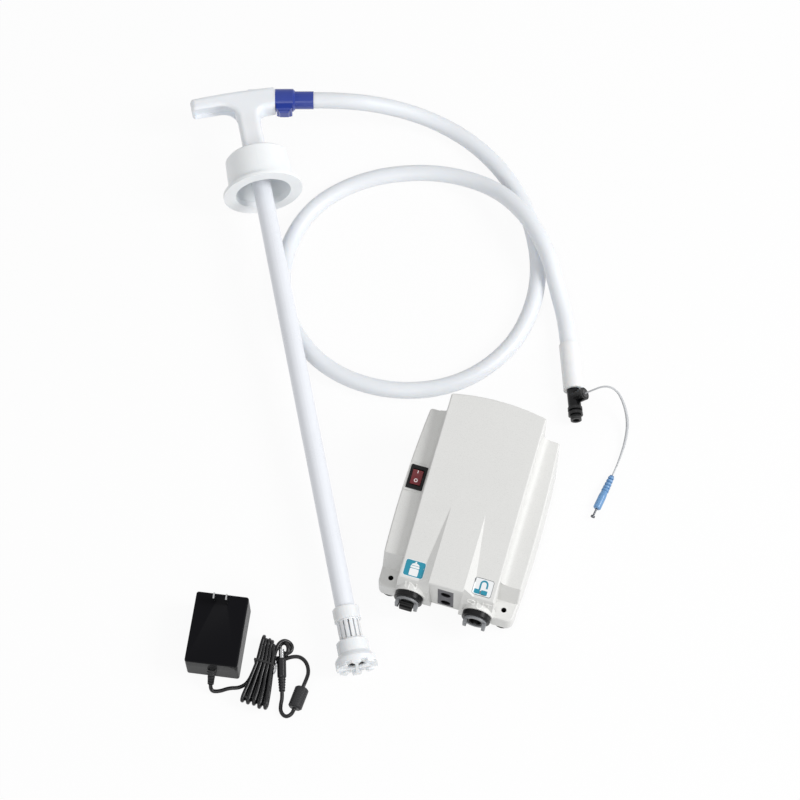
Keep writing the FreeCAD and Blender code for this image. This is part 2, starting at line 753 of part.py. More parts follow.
def top_cover():
    outer = round_centre(fuse([case_body(0.0), cove(), mirrored(cove())]))
    outer = fuse([outer, hood(), mirrored(hood()), switch_pad()])
    inner = case_body(CASE_WALL)
    shell = outer.cut(inner)
    boss_low = CASE_BOTTOM_Z + FIT_GAP + PAN_THICKNESS + FIT_GAP
    reach = CENTRE_REAR_Z + CENTRE_REAR_BOW
    bosses = [rod(V(side * SCREW_HOLE_HALF, 0, boss_low), Z_AXIS, SCREW_HOLE_R + BOSS_WALL, reach)
              for side in (-1, 1)]
    bosses += [rod(V(x, y, boss_low), Z_AXIS, COVER_SCREW_R + BOSS_WALL, reach)
               for x, y in cover_screw_spots()]
    shell = fuse([shell] + [boss.common(outer) for boss in bosses])
    tools = []
    for side in (-1, 1):
        tools.append(rod(V(side * SCREW_HOLE_HALF, 0, 0), Z_AXIS, SCREW_HOLE_R, PAD_TOP_Z + 1))
        tools.append(rod(V(side * PORT_HALF, HOOD_FRONT_Y - 1, PORT_Z), Y_AXIS, PORT_R + 0.1, 12))
    for x, y in cover_screw_spots():
        tools.append(rod(V(x, y, 0), Z_AXIS, COVER_SCREW_R, CASE_BOTTOM_Z + COVER_SCREW_LENGTH + 2))
    tools.append(box(-JACK_PANEL_HALF, JACK_PANEL_HALF, CENTRE_FRONT_Y - 1, CENTRE_FRONT_Y + JACK_PANEL_DEPTH,
                     JACK_PANEL_BOTTOM_Z, JACK_PANEL_TOP_Z))
    half_w = SWITCH_BODY_WIDTH / 2 + 0.1
    half_l = SWITCH_BODY_LENGTH / 2 + 0.1
    window = box(-half_w, half_w, -half_l, half_l, -20, 20)
    seat = box(-BEZEL_WIDTH / 2, BEZEL_WIDTH / 2, -BEZEL_LENGTH / 2, BEZEL_LENGTH / 2, 0, 20)
    tools.append(turned(window.fuse(seat), switch_frame()))
    return cut(shell, tools)


PAN_HOLE_REACH = 40.0        # the pan's holes are cut with rods this long


def pan_hole_tools():
    tools = []
    for side in (-1, 1):
        tools.append(rod(V(side * SCREW_HOLE_HALF, 0, 0), Z_AXIS, FOOT_NECK_R, PAN_HOLE_REACH))
        tools.append(rod(V(side * REAR_FOOT_HALF, REAR_FOOT_Y, 0), Z_AXIS, FOOT_NECK_R, PAN_HOLE_REACH))
    for x, y in cover_screw_spots():
        tools.append(rod(V(x, y, 0), Z_AXIS, COVER_SCREW_R + 0.2, PAN_HOLE_REACH))
        tools.append(rod(V(x, y, 0), Z_AXIS, COVER_SCREW_HEAD_R + 0.2, CASE_BOTTOM_Z + FIT_GAP + 1.0))
    return tools


def base_pan():
    # the pan sits inside the cover's walls on the same plan
    low = CASE_BOTTOM_Z + FIT_GAP
    reach = PAN_THICKNESS + PAN_RIM_H
    margin = CASE_WALL + FIT_GAP
    slab = box(-100, 100, -50, 250, low, low + reach)
    outer = case_body(margin).common(slab)
    inner = case_body(margin + PAN_RIM_WALL).common(slab)
    hollow = inner.common(box(-100, 100, -50, 250, low + PAN_THICKNESS, low + reach))
    pan = outer.cut(hollow)
    top = low + PAN_THICKNESS
    cradle = box(-14, 14, 140, 148, top, WORKS_Z - CAN_R + 5)
    posts = [rod(V(BOARD_X + sx * (BOARD_WIDTH / 2 - 4), BOARD_Y + sy * (BOARD_LENGTH / 2 - 4), top), Z_AXIS,
                 BOARD_POST_R, BOARD_POST_H) for sx in (-1, 1) for sy in (-1, 1)]
    pan = fuse([pan, cradle] + posts)
    jack = box(-JACK_PANEL_HALF - FIT_GAP, JACK_PANEL_HALF + FIT_GAP, -20,
               CENTRE_FRONT_Y + JACK_PANEL_DEPTH + 1,
               JACK_PANEL_BOTTOM_Z - FIT_GAP, 60)
    port_clear = [rod(V(s * PORT_HALF, -20, PORT_Z), Y_AXIS, PORT_R + 0.6, 34) for s in (-1, 1)]
    motor = rod(V(0, 100, WORKS_Z), Y_AXIS, CAN_R, 100)
    return cut(pan, [jack, motor] + port_clear + pan_hole_tools())


def front_foot(side):
    foot = rubber_foot(side * SCREW_HOLE_HALF, 0)
    return foot.cut(rod(V(side * SCREW_HOLE_HALF, 0, -1), Z_AXIS, SCREW_HOLE_R, 30))


def rubber_foot(x, y):
    top = CASE_BOTTOM_Z + FIT_GAP
    disc = Part.makeCone(FOOT_R - 1.0, FOOT_R, 1.5, V(x, y, 0))
    disc = disc.fuse(rod(V(x, y, 1.5), Z_AXIS, FOOT_R, CASE_BOTTOM_Z - 1.5 - 0.2))
    neck = rod(V(x, y, 1.5), Z_AXIS, FOOT_NECK_R, top + PAN_THICKNESS - 1.5)
    shoulder = rod(V(x, y, 1.5), Z_AXIS, FOOT_R - 2.0, top - 1.5)
    return fuse([disc, shoulder, neck])


def cover_screw(x, y):
    head_z = CASE_BOTTOM_Z + FIT_GAP - COVER_SCREW_HEAD_H + 1.0
    head = rod(V(x, y, head_z), Z_AXIS, COVER_SCREW_HEAD_R, COVER_SCREW_HEAD_H)
    shank = rod(V(x, y, head_z), Z_AXIS, COVER_SCREW_R, COVER_SCREW_LENGTH)
    slot = box(x - 0.4, x + 0.4, y - 2.4, y + 2.4, head_z, head_z + 0.8)
    return fuse([head, shank]).cut(slot)


def port_socket(side):
    x = side * PORT_HALF
    front = V(x, PORT_FRONT_Y, PORT_Z)
    length = CENTRE_FRONT_Y + CASE_WALL - PORT_FRONT_Y
    ring = rod(front, Y_AXIS, PORT_R, length)
    ring = ring.makeFillet(1.2, [e for e in ring.Edges if abs(e.CenterOfMass.y - PORT_FRONT_Y) < 0.01
                                 and e.Curve.TypeId == "Part::GeomCircle"])
    body = rod(front, Y_AXIS, PORT_BODY_R, length + 6)
    barb = rod(front, Y_AXIS, PORT_BARB_R, PORT_BARB_END_Y - PORT_FRONT_Y)
    collet = pipe(V(x, PORT_FRONT_Y - COLLET_RISE, PORT_Z), Y_AXIS, COLLET_R, COLLET_INNER_R, COLLET_RISE + 1)
    notch = box(x - COLLET_NOTCH / 2, x + COLLET_NOTCH / 2, PORT_FRONT_Y - COLLET_RISE - 1, PORT_FRONT_Y,
                PORT_Z - COLLET_R - 1, PORT_Z)
    socket = fuse([ring, body, barb, collet.cut(notch)])
    bore_depth = length + 2
    tools = [rod(front, Y_AXIS, PORT_BORE_R, bore_depth), rod(front, Y_AXIS, PORT_FLOW_R, 60)]
    groove_y = PORT_FRONT_Y + SEAL_BEHIND_FACE
    tools.append(rod(V(x, groove_y - SEAL_SECTION_R, PORT_Z), Y_AXIS, PORT_BORE_R + 2 * SEAL_SECTION_R + 0.1,
                     2 * SEAL_SECTION_R))
    for s in (-1, 1):
        tongue_x = x + s * (CLIP_R - CLIP_TONGUE_WIDTH / 2 - 0.6)
        half_w = CLIP_TONGUE_WIDTH / 2 + 0.15
        half_h = CLIP_TONGUE_HEIGHT / 2 + 0.15
        tools.append(box(tongue_x - half_w, tongue_x + half_w, PORT_FRONT_Y - 1,
                         PORT_FRONT_Y + CLIP_TONGUE_LENGTH + 0.3, PORT_Z - half_h, PORT_Z + half_h))
    return cut(socket, tools)


def port_seal(side):
    y = PORT_FRONT_Y + SEAL_BEHIND_FACE
    middle = PORT_BORE_R + 0.05 + SEAL_SECTION_R
    return Part.makeTorus(middle, SEAL_SECTION_R, V(side * PORT_HALF, y, PORT_Z), Y_AXIS)


def port_clip(side):
    x = side * PORT_HALF
    face_y = PORT_FRONT_Y - SLIDE_GAP
    ring = pipe(V(x, face_y - CLIP_THICKNESS, PORT_Z), Y_AXIS, CLIP_R, CLIP_INNER_R, CLIP_THICKNESS)
    pieces = [ring]
    for s in (-1, 1):
        outer = x + s * (CLIP_R - 0.2)
        inner = outer - s * CLIP_PRONG_WIDTH
        prong = box(min(outer, inner), max(outer, inner), face_y - CLIP_THICKNESS - CLIP_PRONG_LENGTH, face_y,
                    PORT_Z - CLIP_PRONG_HEIGHT / 2, PORT_Z + CLIP_PRONG_HEIGHT / 2)
        tip = [e for e in prong.Edges if abs(e.CenterOfMass.y - prong.BoundBox.YMin) < 0.01]
        prong = prong.makeFillet(1.4, tip)
        prong = prong.cut(rod(V(x, face_y - 30, PORT_Z), Y_AXIS, CLIP_INNER_R - 0.2, 40))
        pieces.append(prong)
        tongue_x = x + s * (CLIP_R - CLIP_TONGUE_WIDTH / 2 - 0.6)
        pieces.append(box(tongue_x - CLIP_TONGUE_WIDTH / 2, tongue_x + CLIP_TONGUE_WIDTH / 2, face_y - 1,
                          face_y + CLIP_TONGUE_LENGTH, PORT_Z - CLIP_TONGUE_HEIGHT / 2,
                          PORT_Z + CLIP_TONGUE_HEIGHT / 2))
    return fuse(pieces)


def in_port_plug():
    x = -PORT_HALF
    grip_rear = PORT_FRONT_Y - COLLET_RISE - SLIDE_GAP
    grip_front = grip_rear - PLUG_GRIP_LENGTH
    nose = rod(V(x, grip_rear - 1, PORT_Z), Y_AXIS, PORT_BORE_R - SLIDE_GAP,
               PORT_FRONT_Y + PLUG_NOSE_LENGTH - grip_rear + 1)
    grip = box(x - PLUG_GRIP_WIDTH / 2, x + PLUG_GRIP_WIDTH / 2, grip_front, grip_rear,
               PORT_Z - PLUG_GRIP_HEIGHT / 2, PORT_Z + PLUG_GRIP_HEIGHT / 2)
    grip = grip.makeFillet(1.2, grip.Edges)
    ribs = []
    for index in range(PLUG_RIB_COUNT):
        y = grip_front + (index + 0.3) * PLUG_RIB_PITCH
        ribs.append(box(x - PLUG_GRIP_WIDTH / 2 - 1, x + PLUG_GRIP_WIDTH / 2 + 1, y, y + 1.0,
                        PORT_Z + PLUG_GRIP_HEIGHT / 2 - 0.7, PORT_Z + PLUG_GRIP_HEIGHT / 2 + 1))
    return cut(fuse([nose, grip]), ribs)


def jack_panel():
    face = CENTRE_FRONT_Y + JACK_PANEL_RECESS
    gap = 0.1
    panel = box(-JACK_PANEL_HALF + gap, JACK_PANEL_HALF - gap, face, CENTRE_FRONT_Y + JACK_PANEL_DEPTH,
                JACK_PANEL_BOTTOM_Z + gap, JACK_PANEL_TOP_Z - gap)
    tools = []
    for z, pin_r in ((JACK_UPPER_Z, PLUG_BARREL_R), (JACK_LOWER_Z, FLOAT_PIN_HEAD_R)):
        tools.append(rod(V(0, face - 1, z), Y_AXIS, JACK_RECESS_R, JACK_RECESS_DEPTH + 1))
        tools.append(rod(V(0, face, z), Y_AXIS, pin_r + JACK_CLEARANCE, JACK_RECESS_DEPTH + JACK_BORE_DEPTH))
    return cut(panel, tools)


def switch_housing():
    frame = switch_frame()
    bezel = box(-BEZEL_WIDTH / 2, BEZEL_WIDTH / 2, -BEZEL_LENGTH / 2, BEZEL_LENGTH / 2, 0, BEZEL_HEIGHT)
    bezel = bezel.makeFillet(1.5, [e for e in bezel.Edges if e.BoundBox.ZLength > 1])
    bezel = bezel.makeFillet(0.8, [e for e in bezel.Edges if e.BoundBox.ZMin > BEZEL_HEIGHT - 0.01])
    half_w = SWITCH_BODY_WIDTH / 2
    half_l = SWITCH_BODY_LENGTH / 2
    body = box(-half_w, half_w, -half_l, half_l, -SWITCH_BODY_DEPTH, 0)
    pocket = box(-half_w + SWITCH_WALL, half_w - SWITCH_WALL, -half_l + SWITCH_WALL, half_l - SWITCH_WALL,
                 -SWITCH_BODY_DEPTH + 4, BEZEL_HEIGHT + 1)
    pins = [box(-3, 3, y - 0.4, y + 0.4, -SWITCH_BODY_DEPTH - 6, -SWITCH_BODY_DEPTH + 1) for y in (-5, 5)]
    shell = fuse([bezel, body] + pins).cut(pocket)
    pin = rod(V(-half_w, 0, BEZEL_HEIGHT / 2), X_AXIS, ROCKER_PIN_R - RUNNING_GAP, SWITCH_BODY_WIDTH)
    return turned(fuse([shell, pin]), frame)


def rocker_button():
    # two flats meet at the middle of the button; it turns on the housing's cross pin
    half_w = SWITCH_BODY_WIDTH / 2 - SWITCH_WALL - ROCKER_GAP
    half_l = SWITCH_BODY_LENGTH / 2 - SWITCH_WALL - ROCKER_GAP - 0.6
    top = BEZEL_HEIGHT / 2 + ROCKER_RISE
    dip = half_l * math.tan(math.radians(ROCKER_REST_TILT))
    outline = [V(-half_w, -half_l, top), V(-half_w, 0, top - dip), V(-half_w, half_l, top),
               V(-half_w, half_l - 1, top - ROCKER_THICKNESS),
               V(-half_w, -half_l + 1, top - ROCKER_THICKNESS)]
    button = extrude_outline(outline, V(2 * half_w, 0, 0))
    hub = rod(V(-half_w, 0, BEZEL_HEIGHT / 2), X_AXIS, ROCKER_PIN_R + 1.4, 2 * half_w)
    button = fuse([button, hub])
    button = button.cut(rod(V(-half_w - 1, 0, BEZEL_HEIGHT / 2), X_AXIS, ROCKER_PIN_R, 2 * half_w + 2))
    lean = FreeCAD.Placement(V(0, 0, 0), FreeCAD.Rotation(X_AXIS, ROCKER_REST_TILT),
                             V(0, 0, BEZEL_HEIGHT / 2))
    return turned(turned(button, lean), switch_frame())


def works_box(y0, length):
    block = box(-WORKS_HALF, WORKS_HALF, y0, y0 + length, WORKS_Z - WORKS_HALF, WORKS_Z + WORKS_HALF)
    return block.makeFillet(5.0, [e for e in block.Edges if e.BoundBox.YLength > length - 0.1])


def works_corners():
    return [(sx * HEAD_SCREW_HALF, WORKS_Z + sz * HEAD_SCREW_HALF) for sx in (-1, 1) for sz in (-1, 1)]


def piston_spots():
    spots = []
    for index in range(PISTON_COUNT):
        angle = math.radians(90 + 360 * index / PISTON_COUNT)
        spots.append((PISTON_RING_R * math.cos(angle), WORKS_Z + PISTON_RING_R * math.sin(angle)))
    return spots


VALVE_PLATE_Y = HEAD_FRONT_Y + HEAD_LENGTH
DIAPHRAGM_Y = VALVE_PLATE_Y + VALVE_PLATE_LENGTH
HOUSING_Y = DIAPHRAGM_Y + DIAPHRAGM_LENGTH
END_CAP_Y = HOUSING_Y + HOUSING_LENGTH
CAN_Y = END_CAP_Y + END_CAP_LENGTH


def screw_holes(y0, length, gap):
    return [rod(V(x, y0 - 1, z), Y_AXIS, HEAD_SCREW_R + gap, length + 2) for x, z in works_corners()]


def pump_head():
    head = works_box(HEAD_FRONT_Y, HEAD_LENGTH)
    arms = []
    bores = []
    arm_y = HEAD_FRONT_Y + MANIFOLD_R + 1
    for side in (-1, 1):
        arms.append(rod(V(0, arm_y, WORKS_Z), V(side, 0, 0), MANIFOLD_R, PORT_HALF + MANIFOLD_R))
        arms.append(rod(V(side * PORT_HALF, arm_y, WORKS_Z), V(0, -1, 0), PORT_BARB_R,
                        MANIFOLD_R + 1 + MANIFOLD_BARB_LENGTH))
        bores.append(rod(V(side * PORT_HALF, arm_y, WORKS_Z), V(0, -1, 0), PORT_FLOW_R, 30))
    bores.append(rod(V(-PORT_HALF, arm_y, WORKS_Z), X_AXIS, PORT_FLOW_R, PORT_HALF - INLET_CHAMBER_R + 3))
    bores.append(rod(V(-INLET_CHAMBER_R + 3, arm_y, WORKS_Z), Y_AXIS, PORT_FLOW_R, 8))
    bores.append(rod(V(PORT_HALF, arm_y, WORKS_Z), V(-1, 0, 0), PORT_FLOW_R, PORT_HALF))
    bores.append(rod(V(0, arm_y, WORKS_Z), Y_AXIS, PORT_FLOW_R, 8))
    rear = VALVE_PLATE_Y - HEAD_CHAMBER_DEPTH
    centre = V(0, rear, WORKS_Z)
    bores.append(rod(centre, Y_AXIS, OUTLET_CHAMBER_R, HEAD_CHAMBER_DEPTH + 1))
    bores.append(pipe(centre, Y_AXIS, INLET_CHAMBER_R, OUTLET_CHAMBER_R + 2, HEAD_CHAMBER_DEPTH + 1))
    return cut(fuse([head] + arms), bores + screw_holes(HEAD_FRONT_Y, HEAD_LENGTH, HEAD_SCREW_GAP))


def valve_plate():
    plate = works_box(VALVE_PLATE_Y, VALVE_PLATE_LENGTH)
    tools = screw_holes(VALVE_PLATE_Y, VALVE_PLATE_LENGTH, HEAD_SCREW_GAP)
    for x, z in piston_spots():
        pocket = VALVE_PLATE_Y + VALVE_PLATE_LENGTH - CHAMBER_DEPTH
        tools.append(rod(V(x, pocket, z), Y_AXIS, CHAMBER_R, CHAMBER_DEPTH + 1))
        outward = 1.0 + 2.5 / PISTON_RING_R
        tools.append(rod(V(x * outward, VALVE_PLATE_Y - 1,
                           WORKS_Z + (z - WORKS_Z) * outward), Y_AXIS, 1.2, 8))
    return cut(plate, tools)


def check_valves():
    discs = [rod(V(0, VALVE_PLATE_Y - VALVE_DISC, WORKS_Z), Y_AXIS, OUTLET_CHAMBER_R - 0.5, VALVE_DISC)]
    for x, z in piston_spots():
        outward = 14.3 / PISTON_RING_R
        spot = V(x * outward, VALVE_PLATE_Y - VALVE_DISC, WORKS_Z + (z - WORKS_Z) * outward)
        discs.append(rod(spot, Y_AXIS, 4.6, VALVE_DISC))
    return discs


def lower_housing():
    block = works_box(HOUSING_Y, HOUSING_LENGTH)
    bore = rod(V(0, HOUSING_Y - 1, WORKS_Z), Y_AXIS, HOUSING_BORE_R, HOUSING_LENGTH + 2)
    return cut(block, [bore] + screw_holes(HOUSING_Y - 1, HEAD_SCREW_BITE, 0.0))


def head_screw(x, z):
    head = rod(V(x, HEAD_FRONT_Y - HEAD_SCREW_HEAD_H, z), Y_AXIS, HEAD_SCREW_HEAD_R, HEAD_SCREW_HEAD_H)
    reach = HOUSING_Y + HEAD_SCREW_BITE - 2 - HEAD_FRONT_Y
    shank = rod(V(x, HEAD_FRONT_Y - HEAD_SCREW_HEAD_H, z), Y_AXIS, HEAD_SCREW_R, reach + HEAD_SCREW_HEAD_H)
    slot = box(x - 2, x + 2, HEAD_FRONT_Y - HEAD_SCREW_HEAD_H, HEAD_FRONT_Y - HEAD_SCREW_HEAD_H + 0.8,
               z - 0.4, z + 0.4)
    return fuse([head, shank]).cut(slot)


BEARING_INNER_R = CAM_R + CAM_SWEEP_GAP
BEARING_OUTER_R = BEARING_INNER_R + BEARING_WALL
BEARING_Y = HOUSING_Y + PISTON_LENGTH + WOBBLE_DISC


def wobble_plate():
    centre = V(0, HOUSING_Y + PISTON_LENGTH, WORKS_Z)
    disc = rod(centre, Y_AXIS, WOBBLE_R, WOBBLE_DISC)
    cup = pipe(V(0, BEARING_Y, WORKS_Z), Y_AXIS, WOBBLE_R, BEARING_OUTER_R, BEARING_LENGTH)
    pistons = [rod(V(x, HOUSING_Y, z), Y_AXIS, PISTON_R, PISTON_LENGTH) for x, z in piston_spots()]
    return fuse([disc, cup] + pistons)


def eccentric_cam():
    middle = V(0, BEARING_Y + BEARING_LENGTH / 2 + 0.8, WORKS_Z)
    lean = FreeCAD.Rotation(X_AXIS, CAM_TILT)
    axis = lean.multVec(Y_AXIS)
    cam = rod(middle.sub(axis * (CAM_LENGTH / 2 - 1)), axis, CAM_R, CAM_LENGTH - 1)
    hub = rod(V(0, middle.y, WORKS_Z), Y_AXIS, CAM_R - 2, CAM_LENGTH)
    return fuse([cam, hub]).cut(rod(V(0, 0, WORKS_Z), Y_AXIS, SHAFT_R, 200))


def motor_shaft():
    start = BEARING_Y + 1.5
    shaft = rod(V(0, start, WORKS_Z), Y_AXIS, SHAFT_R, CAN_Y + CAN_LENGTH - 3 - start)
    core_y = CAN_Y + (CAN_LENGTH - ARMATURE_LENGTH) / 2
    core = rod(V(0, core_y, WORKS_Z), Y_AXIS, ARMATURE_R, ARMATURE_LENGTH)
    slots = []
    for index in range(10):
        notch = box(-0.8, 0.8, core_y - 1, core_y + ARMATURE_LENGTH + 1, ARMATURE_R - 3, ARMATURE_R + 1)
        notch.rotate(V(0, 0, 0), Y_AXIS, 36 * index)
        notch.translate(V(0, 0, WORKS_Z))
        slots.append(notch)
    return fuse([shaft, cut(core, slots)])


def motor_can():
    can = rod(V(0, CAN_Y, WORKS_Z), Y_AXIS, CAN_R, CAN_LENGTH)
    hollow = rod(V(0, CAN_Y - 1, WORKS_Z), Y_AXIS, CAN_R - CAN_WALL, CAN_LENGTH - CAN_WALL + 1)
    boss = rod(V(0, CAN_Y + CAN_LENGTH - 6, WORKS_Z), Y_AXIS, SHAFT_R + 3, 8)
    bore = rod(V(0, CAN_Y, WORKS_Z), Y_AXIS, SHAFT_R + RUNNING_GAP, CAN_LENGTH - 2)
    return fuse([can.cut(hollow), boss]).cut(bore)


def motor_end_cap():
    plate = rod(V(0, END_CAP_Y, WORKS_Z), Y_AXIS, CAN_R, END_CAP_LENGTH)
    boss = rod(V(0, END_CAP_Y, WORKS_Z), Y_AXIS, SHAFT_R + 4, END_CAP_LENGTH + 5)
    bore = rod(V(0, END_CAP_Y - 1, WORKS_Z), Y_AXIS, SHAFT_R + RUNNING_GAP, END_CAP_LENGTH + 8)
    return fuse([plate, boss]).cut(bore)


def isolator_mounts():
    top = WORKS_Z - WORKS_HALF
    low = CASE_BOTTOM_Z + FIT_GAP + PAN_THICKNESS
    blocks = []
    for x in (-15, 15):
        for y in (HOUSING_Y + 6, HOUSING_Y + HOUSING_LENGTH - 6):
            block = box(x - 5, x + 5, y - 4, y + 4, low, top)
            blocks.append(block)
    return blocks


def flow_tube(side):
    # soft tube pushed over the port's barb and the head's barb
    arm_y = HEAD_FRONT_Y - MANIFOLD_BARB_LENGTH
    x = side * PORT_HALF
    points = [V(x, PORT_BARB_END_Y - 5, PORT_Z), V(x, PORT_BARB_END_Y + 3, PORT_Z),
              V(x, arm_y - 3, WORKS_Z), V(x, arm_y + 5, WORKS_Z)]
    outer = swept_rod(points, PORT_BARB_R + FLOW_TUBE_WALL)
    inner = swept_rod(points, PORT_BARB_R - 1.0)
    barb_low = rod(V(x, 0, PORT_Z), Y_AXIS, PORT_BARB_R, PORT_BARB_END_Y)
    barb_high = rod(V(x, arm_y, WORKS_Z), Y_AXIS, PORT_BARB_R, 20)
    return cut(outer, [inner, barb_low, barb_high])


def pressure_switch():
    front = HEAD_FRONT_Y - PRESSURE_SWITCH_LENGTH
    body = rod(V(0, front, WORKS_Z), Y_AXIS, PRESSURE_SWITCH_R, PRESSURE_SWITCH_LENGTH)
    cap = rod(V(0, front - 2, WORKS_Z), Y_AXIS, PRESSURE_SWITCH_R - 2.5, 3)
    return fuse([body, cap])


def control_board():
    low = CASE_BOTTOM_Z + FIT_GAP + PAN_THICKNESS + BOARD_POST_H
    top = low + BOARD_THICKNESS
    x0, x1 = BOARD_X - BOARD_WIDTH / 2, BOARD_X + BOARD_WIDTH / 2
    y0, y1 = BOARD_Y - BOARD_LENGTH / 2, BOARD_Y + BOARD_LENGTH / 2
    board = box(x0, x1, y0, y1, low, top)
    relay = box(BOARD_X - 8, BOARD_X + 7, BOARD_Y + 6, BOARD_Y + 25, top, top + 15)
    driver = box(BOARD_X - 9, BOARD_X - 1, BOARD_Y - 14, BOARD_Y - 6, top, top + 2)
    header = box(BOARD_X - 10, BOARD_X + 10, y0 + 2, y0 + 9, top, top + 8)
    cans = [rod(V(BOARD_X + 6, BOARD_Y - y, top), Z_AXIS, 4, 12) for y in (2, 13)]
    return [board, relay, driver, header] + cans


# Wand frame: the tube falls from the cap's flange to the foot's flange, both on the floor
FOOT_BASE_START = COLLAR_START + COLLAR_LENGTH + CAGE_LENGTH
FOOT_END = FOOT_BASE_START + FOOT_COLLAR_LENGTH + FOOT_FLARE_LENGTH + FOOT_FLANGE_LENGTH
WAND_DIP = math.degrees(math.asin((FLANGE_R - FOOT_FLANGE_R) / FOOT_END))
WAND = placement_along(V(CAP_FACE_X, CAP_FACE_Y, FLANGE_R * math.cos(math.radians(WAND_DIP))),
                       WAND_HEADING, WAND_DIP)


def handle_outline():
    half = STEM_R
    neck = HANDLE_NECK_R
    grip_mid = (GRIP_TIP - half) / 2
    stem_end = -SKIRT_LENGTH - CAP_HUB_RISE
    flat = math.sqrt(0.5)
    edges = [
        Part.LineSegment(V(stem_end, half, 0), V(ARM_UNDER + neck / 2, half, 0)),
        Part.Arc(V(ARM_UNDER + neck / 2, half, 0),
                 V(ARM_UNDER + neck / 2 * (1 - flat), half + neck / 2 * (1 - flat), 0),
                 V(ARM_UNDER, half + neck / 2, 0)),
        Part.LineSegment(V(ARM_UNDER, half + neck / 2, 0), V(ARM_UNDER, ARM_TIP, 0)),
        Part.LineSegment(V(ARM_UNDER, ARM_TIP, 0), V(HANDLE_REAR + HANDLE_ARCH, ARM_TIP, 0)),
        Part.Arc(V(HANDLE_REAR + HANDLE_ARCH, ARM_TIP, 0), V(HANDLE_REAR + HANDLE_BOW, grip_mid, 0),
                 V(HANDLE_REAR + GRIP_END_DROP, GRIP_TIP, 0)),
        Part.LineSegment(V(HANDLE_REAR + GRIP_END_DROP, GRIP_TIP, 0), V(GRIP_UNDER, GRIP_TIP, 0)),
        Part.LineSegment(V(GRIP_UNDER, GRIP_TIP, 0), V(GRIP_UNDER, -half - neck, 0)),
        Part.Arc(V(GRIP_UNDER, -half - neck, 0),
                 V(GRIP_UNDER + neck * (1 - flat), -half - neck * (1 - flat), 0),
                 V(GRIP_UNDER + neck, -half, 0)),
        Part.LineSegment(V(GRIP_UNDER + neck, -half, 0), V(stem_end, -half, 0)),
        Part.LineSegment(V(stem_end, -half, 0), V(stem_end, half, 0)),
    ]
    return Part.Face(Part.Wire([edge.toShape() for edge in edges]))


def grip_channel():
    # the grip is hollow underneath; the channel follows its underside and bends into the stem
    turn = V(GRIP_UNDER + HANDLE_NECK_R, -STEM_R - HANDLE_NECK_R, 0)
    mouth_r = HANDLE_NECK_R - 2
    bed_r = HANDLE_NECK_R + CHANNEL_DEPTH

    def spot(radius, degrees):
        angle = math.radians(degrees)
        return turn.add(V(radius * math.cos(angle), radius * math.sin(angle), 0))

    end_y = GRIP_TIP + CHANNEL_END_WALL
    half_turn = (180 + CHANNEL_TURN) / 2
    far_bed, far_mouth = V(turn.x - bed_r, end_y, 0), V(turn.x - mouth_r, end_y, 0)
    edges = [
        Part.LineSegment(far_mouth, far_bed),
        Part.LineSegment(far_bed, spot(bed_r, 180)),
        Part.Arc(spot(bed_r, 180), spot(bed_r, half_turn), spot(bed_r, CHANNEL_TURN)),
        Part.LineSegment(spot(bed_r, CHANNEL_TURN), spot(mouth_r, CHANNEL_TURN)),
        Part.Arc(spot(mouth_r, CHANNEL_TURN), spot(mouth_r, half_turn), spot(mouth_r, 180)),
        Part.LineSegment(spot(mouth_r, 180), far_mouth),
    ]
    face = Part.Face(Part.Wire([edge.toShape() for edge in edges]))
    face.translate(V(0, 0, -CHANNEL_HALF))
    return face.extrude(V(0, 0, 2 * CHANNEL_HALF))


ARM = placement_along(V(ARM_AXIS_X, ARM_TIP, 0), 90 - ARM_LEAN, 0)


def wand_handle():
    plan = handle_outline()
    plan.translate(V(0, 0, -GRIP_THICKNESS / 2))
    slab = plan.extrude(V(0, 0, GRIP_THICKNESS))
    ends = [e for e in slab.Edges if e.BoundBox.ZLength > 1 and abs(e.CenterOfMass.y - GRIP_TIP) < 0.01]
    slab = slab.makeFillet(GRIP_CORNER_R, ends)
    rims = [e for e in slab.Edges if abs(abs(e.CenterOfMass.z) - GRIP_THICKNESS / 2) < 0.01
            and e.BoundBox.ZLength < 0.01 and abs(e.CenterOfMass.x + SKIRT_LENGTH + CAP_HUB_RISE) > 0.01
            and abs(e.CenterOfMass.y - ARM_TIP) > 0.01]
    slab = slab.makeFillet(HANDLE_EDGE_R, rims)
    stem_end = -SKIRT_LENGTH - CAP_HUB_RISE
    stem = rod(V(ARM_AXIS_X, 0, 0), X_AXIS, STEM_R, stem_end - ARM_AXIS_X)
    arm = turned(rod(V(-30, 0, 0), X_AXIS, COUPLING_R - 0.4, 30), ARM)
    body = fuse([slab, stem, arm])
    seat = rod(V(GRIP_UNDER + HANDLE_NECK_R, 0, 0), X_AXIS, TUBE_R, 60)
    rise = rod(V(ARM_AXIS_X, 0, 0), X_AXIS, HANDLE_FLOW_R, 40)
    across = turned(rod(V(-34, 0, 0), X_AXIS, HANDLE_FLOW_R, 40), ARM)
    trim = turned(box(0, 40, -60, 60, -60, 60), ARM)
    return turned(cut(body, [seat, rise, across, trim, grip_channel()]), WAND)


def suction_tube():
    start = GRIP_UNDER + HANDLE_NECK_R
    end = COLLAR_START + TUBE_SEAT
    return turned(pipe(V(start, 0, 0), X_AXIS, TUBE_R, TUBE_R - TUBE_WALL, end - start), WAND)


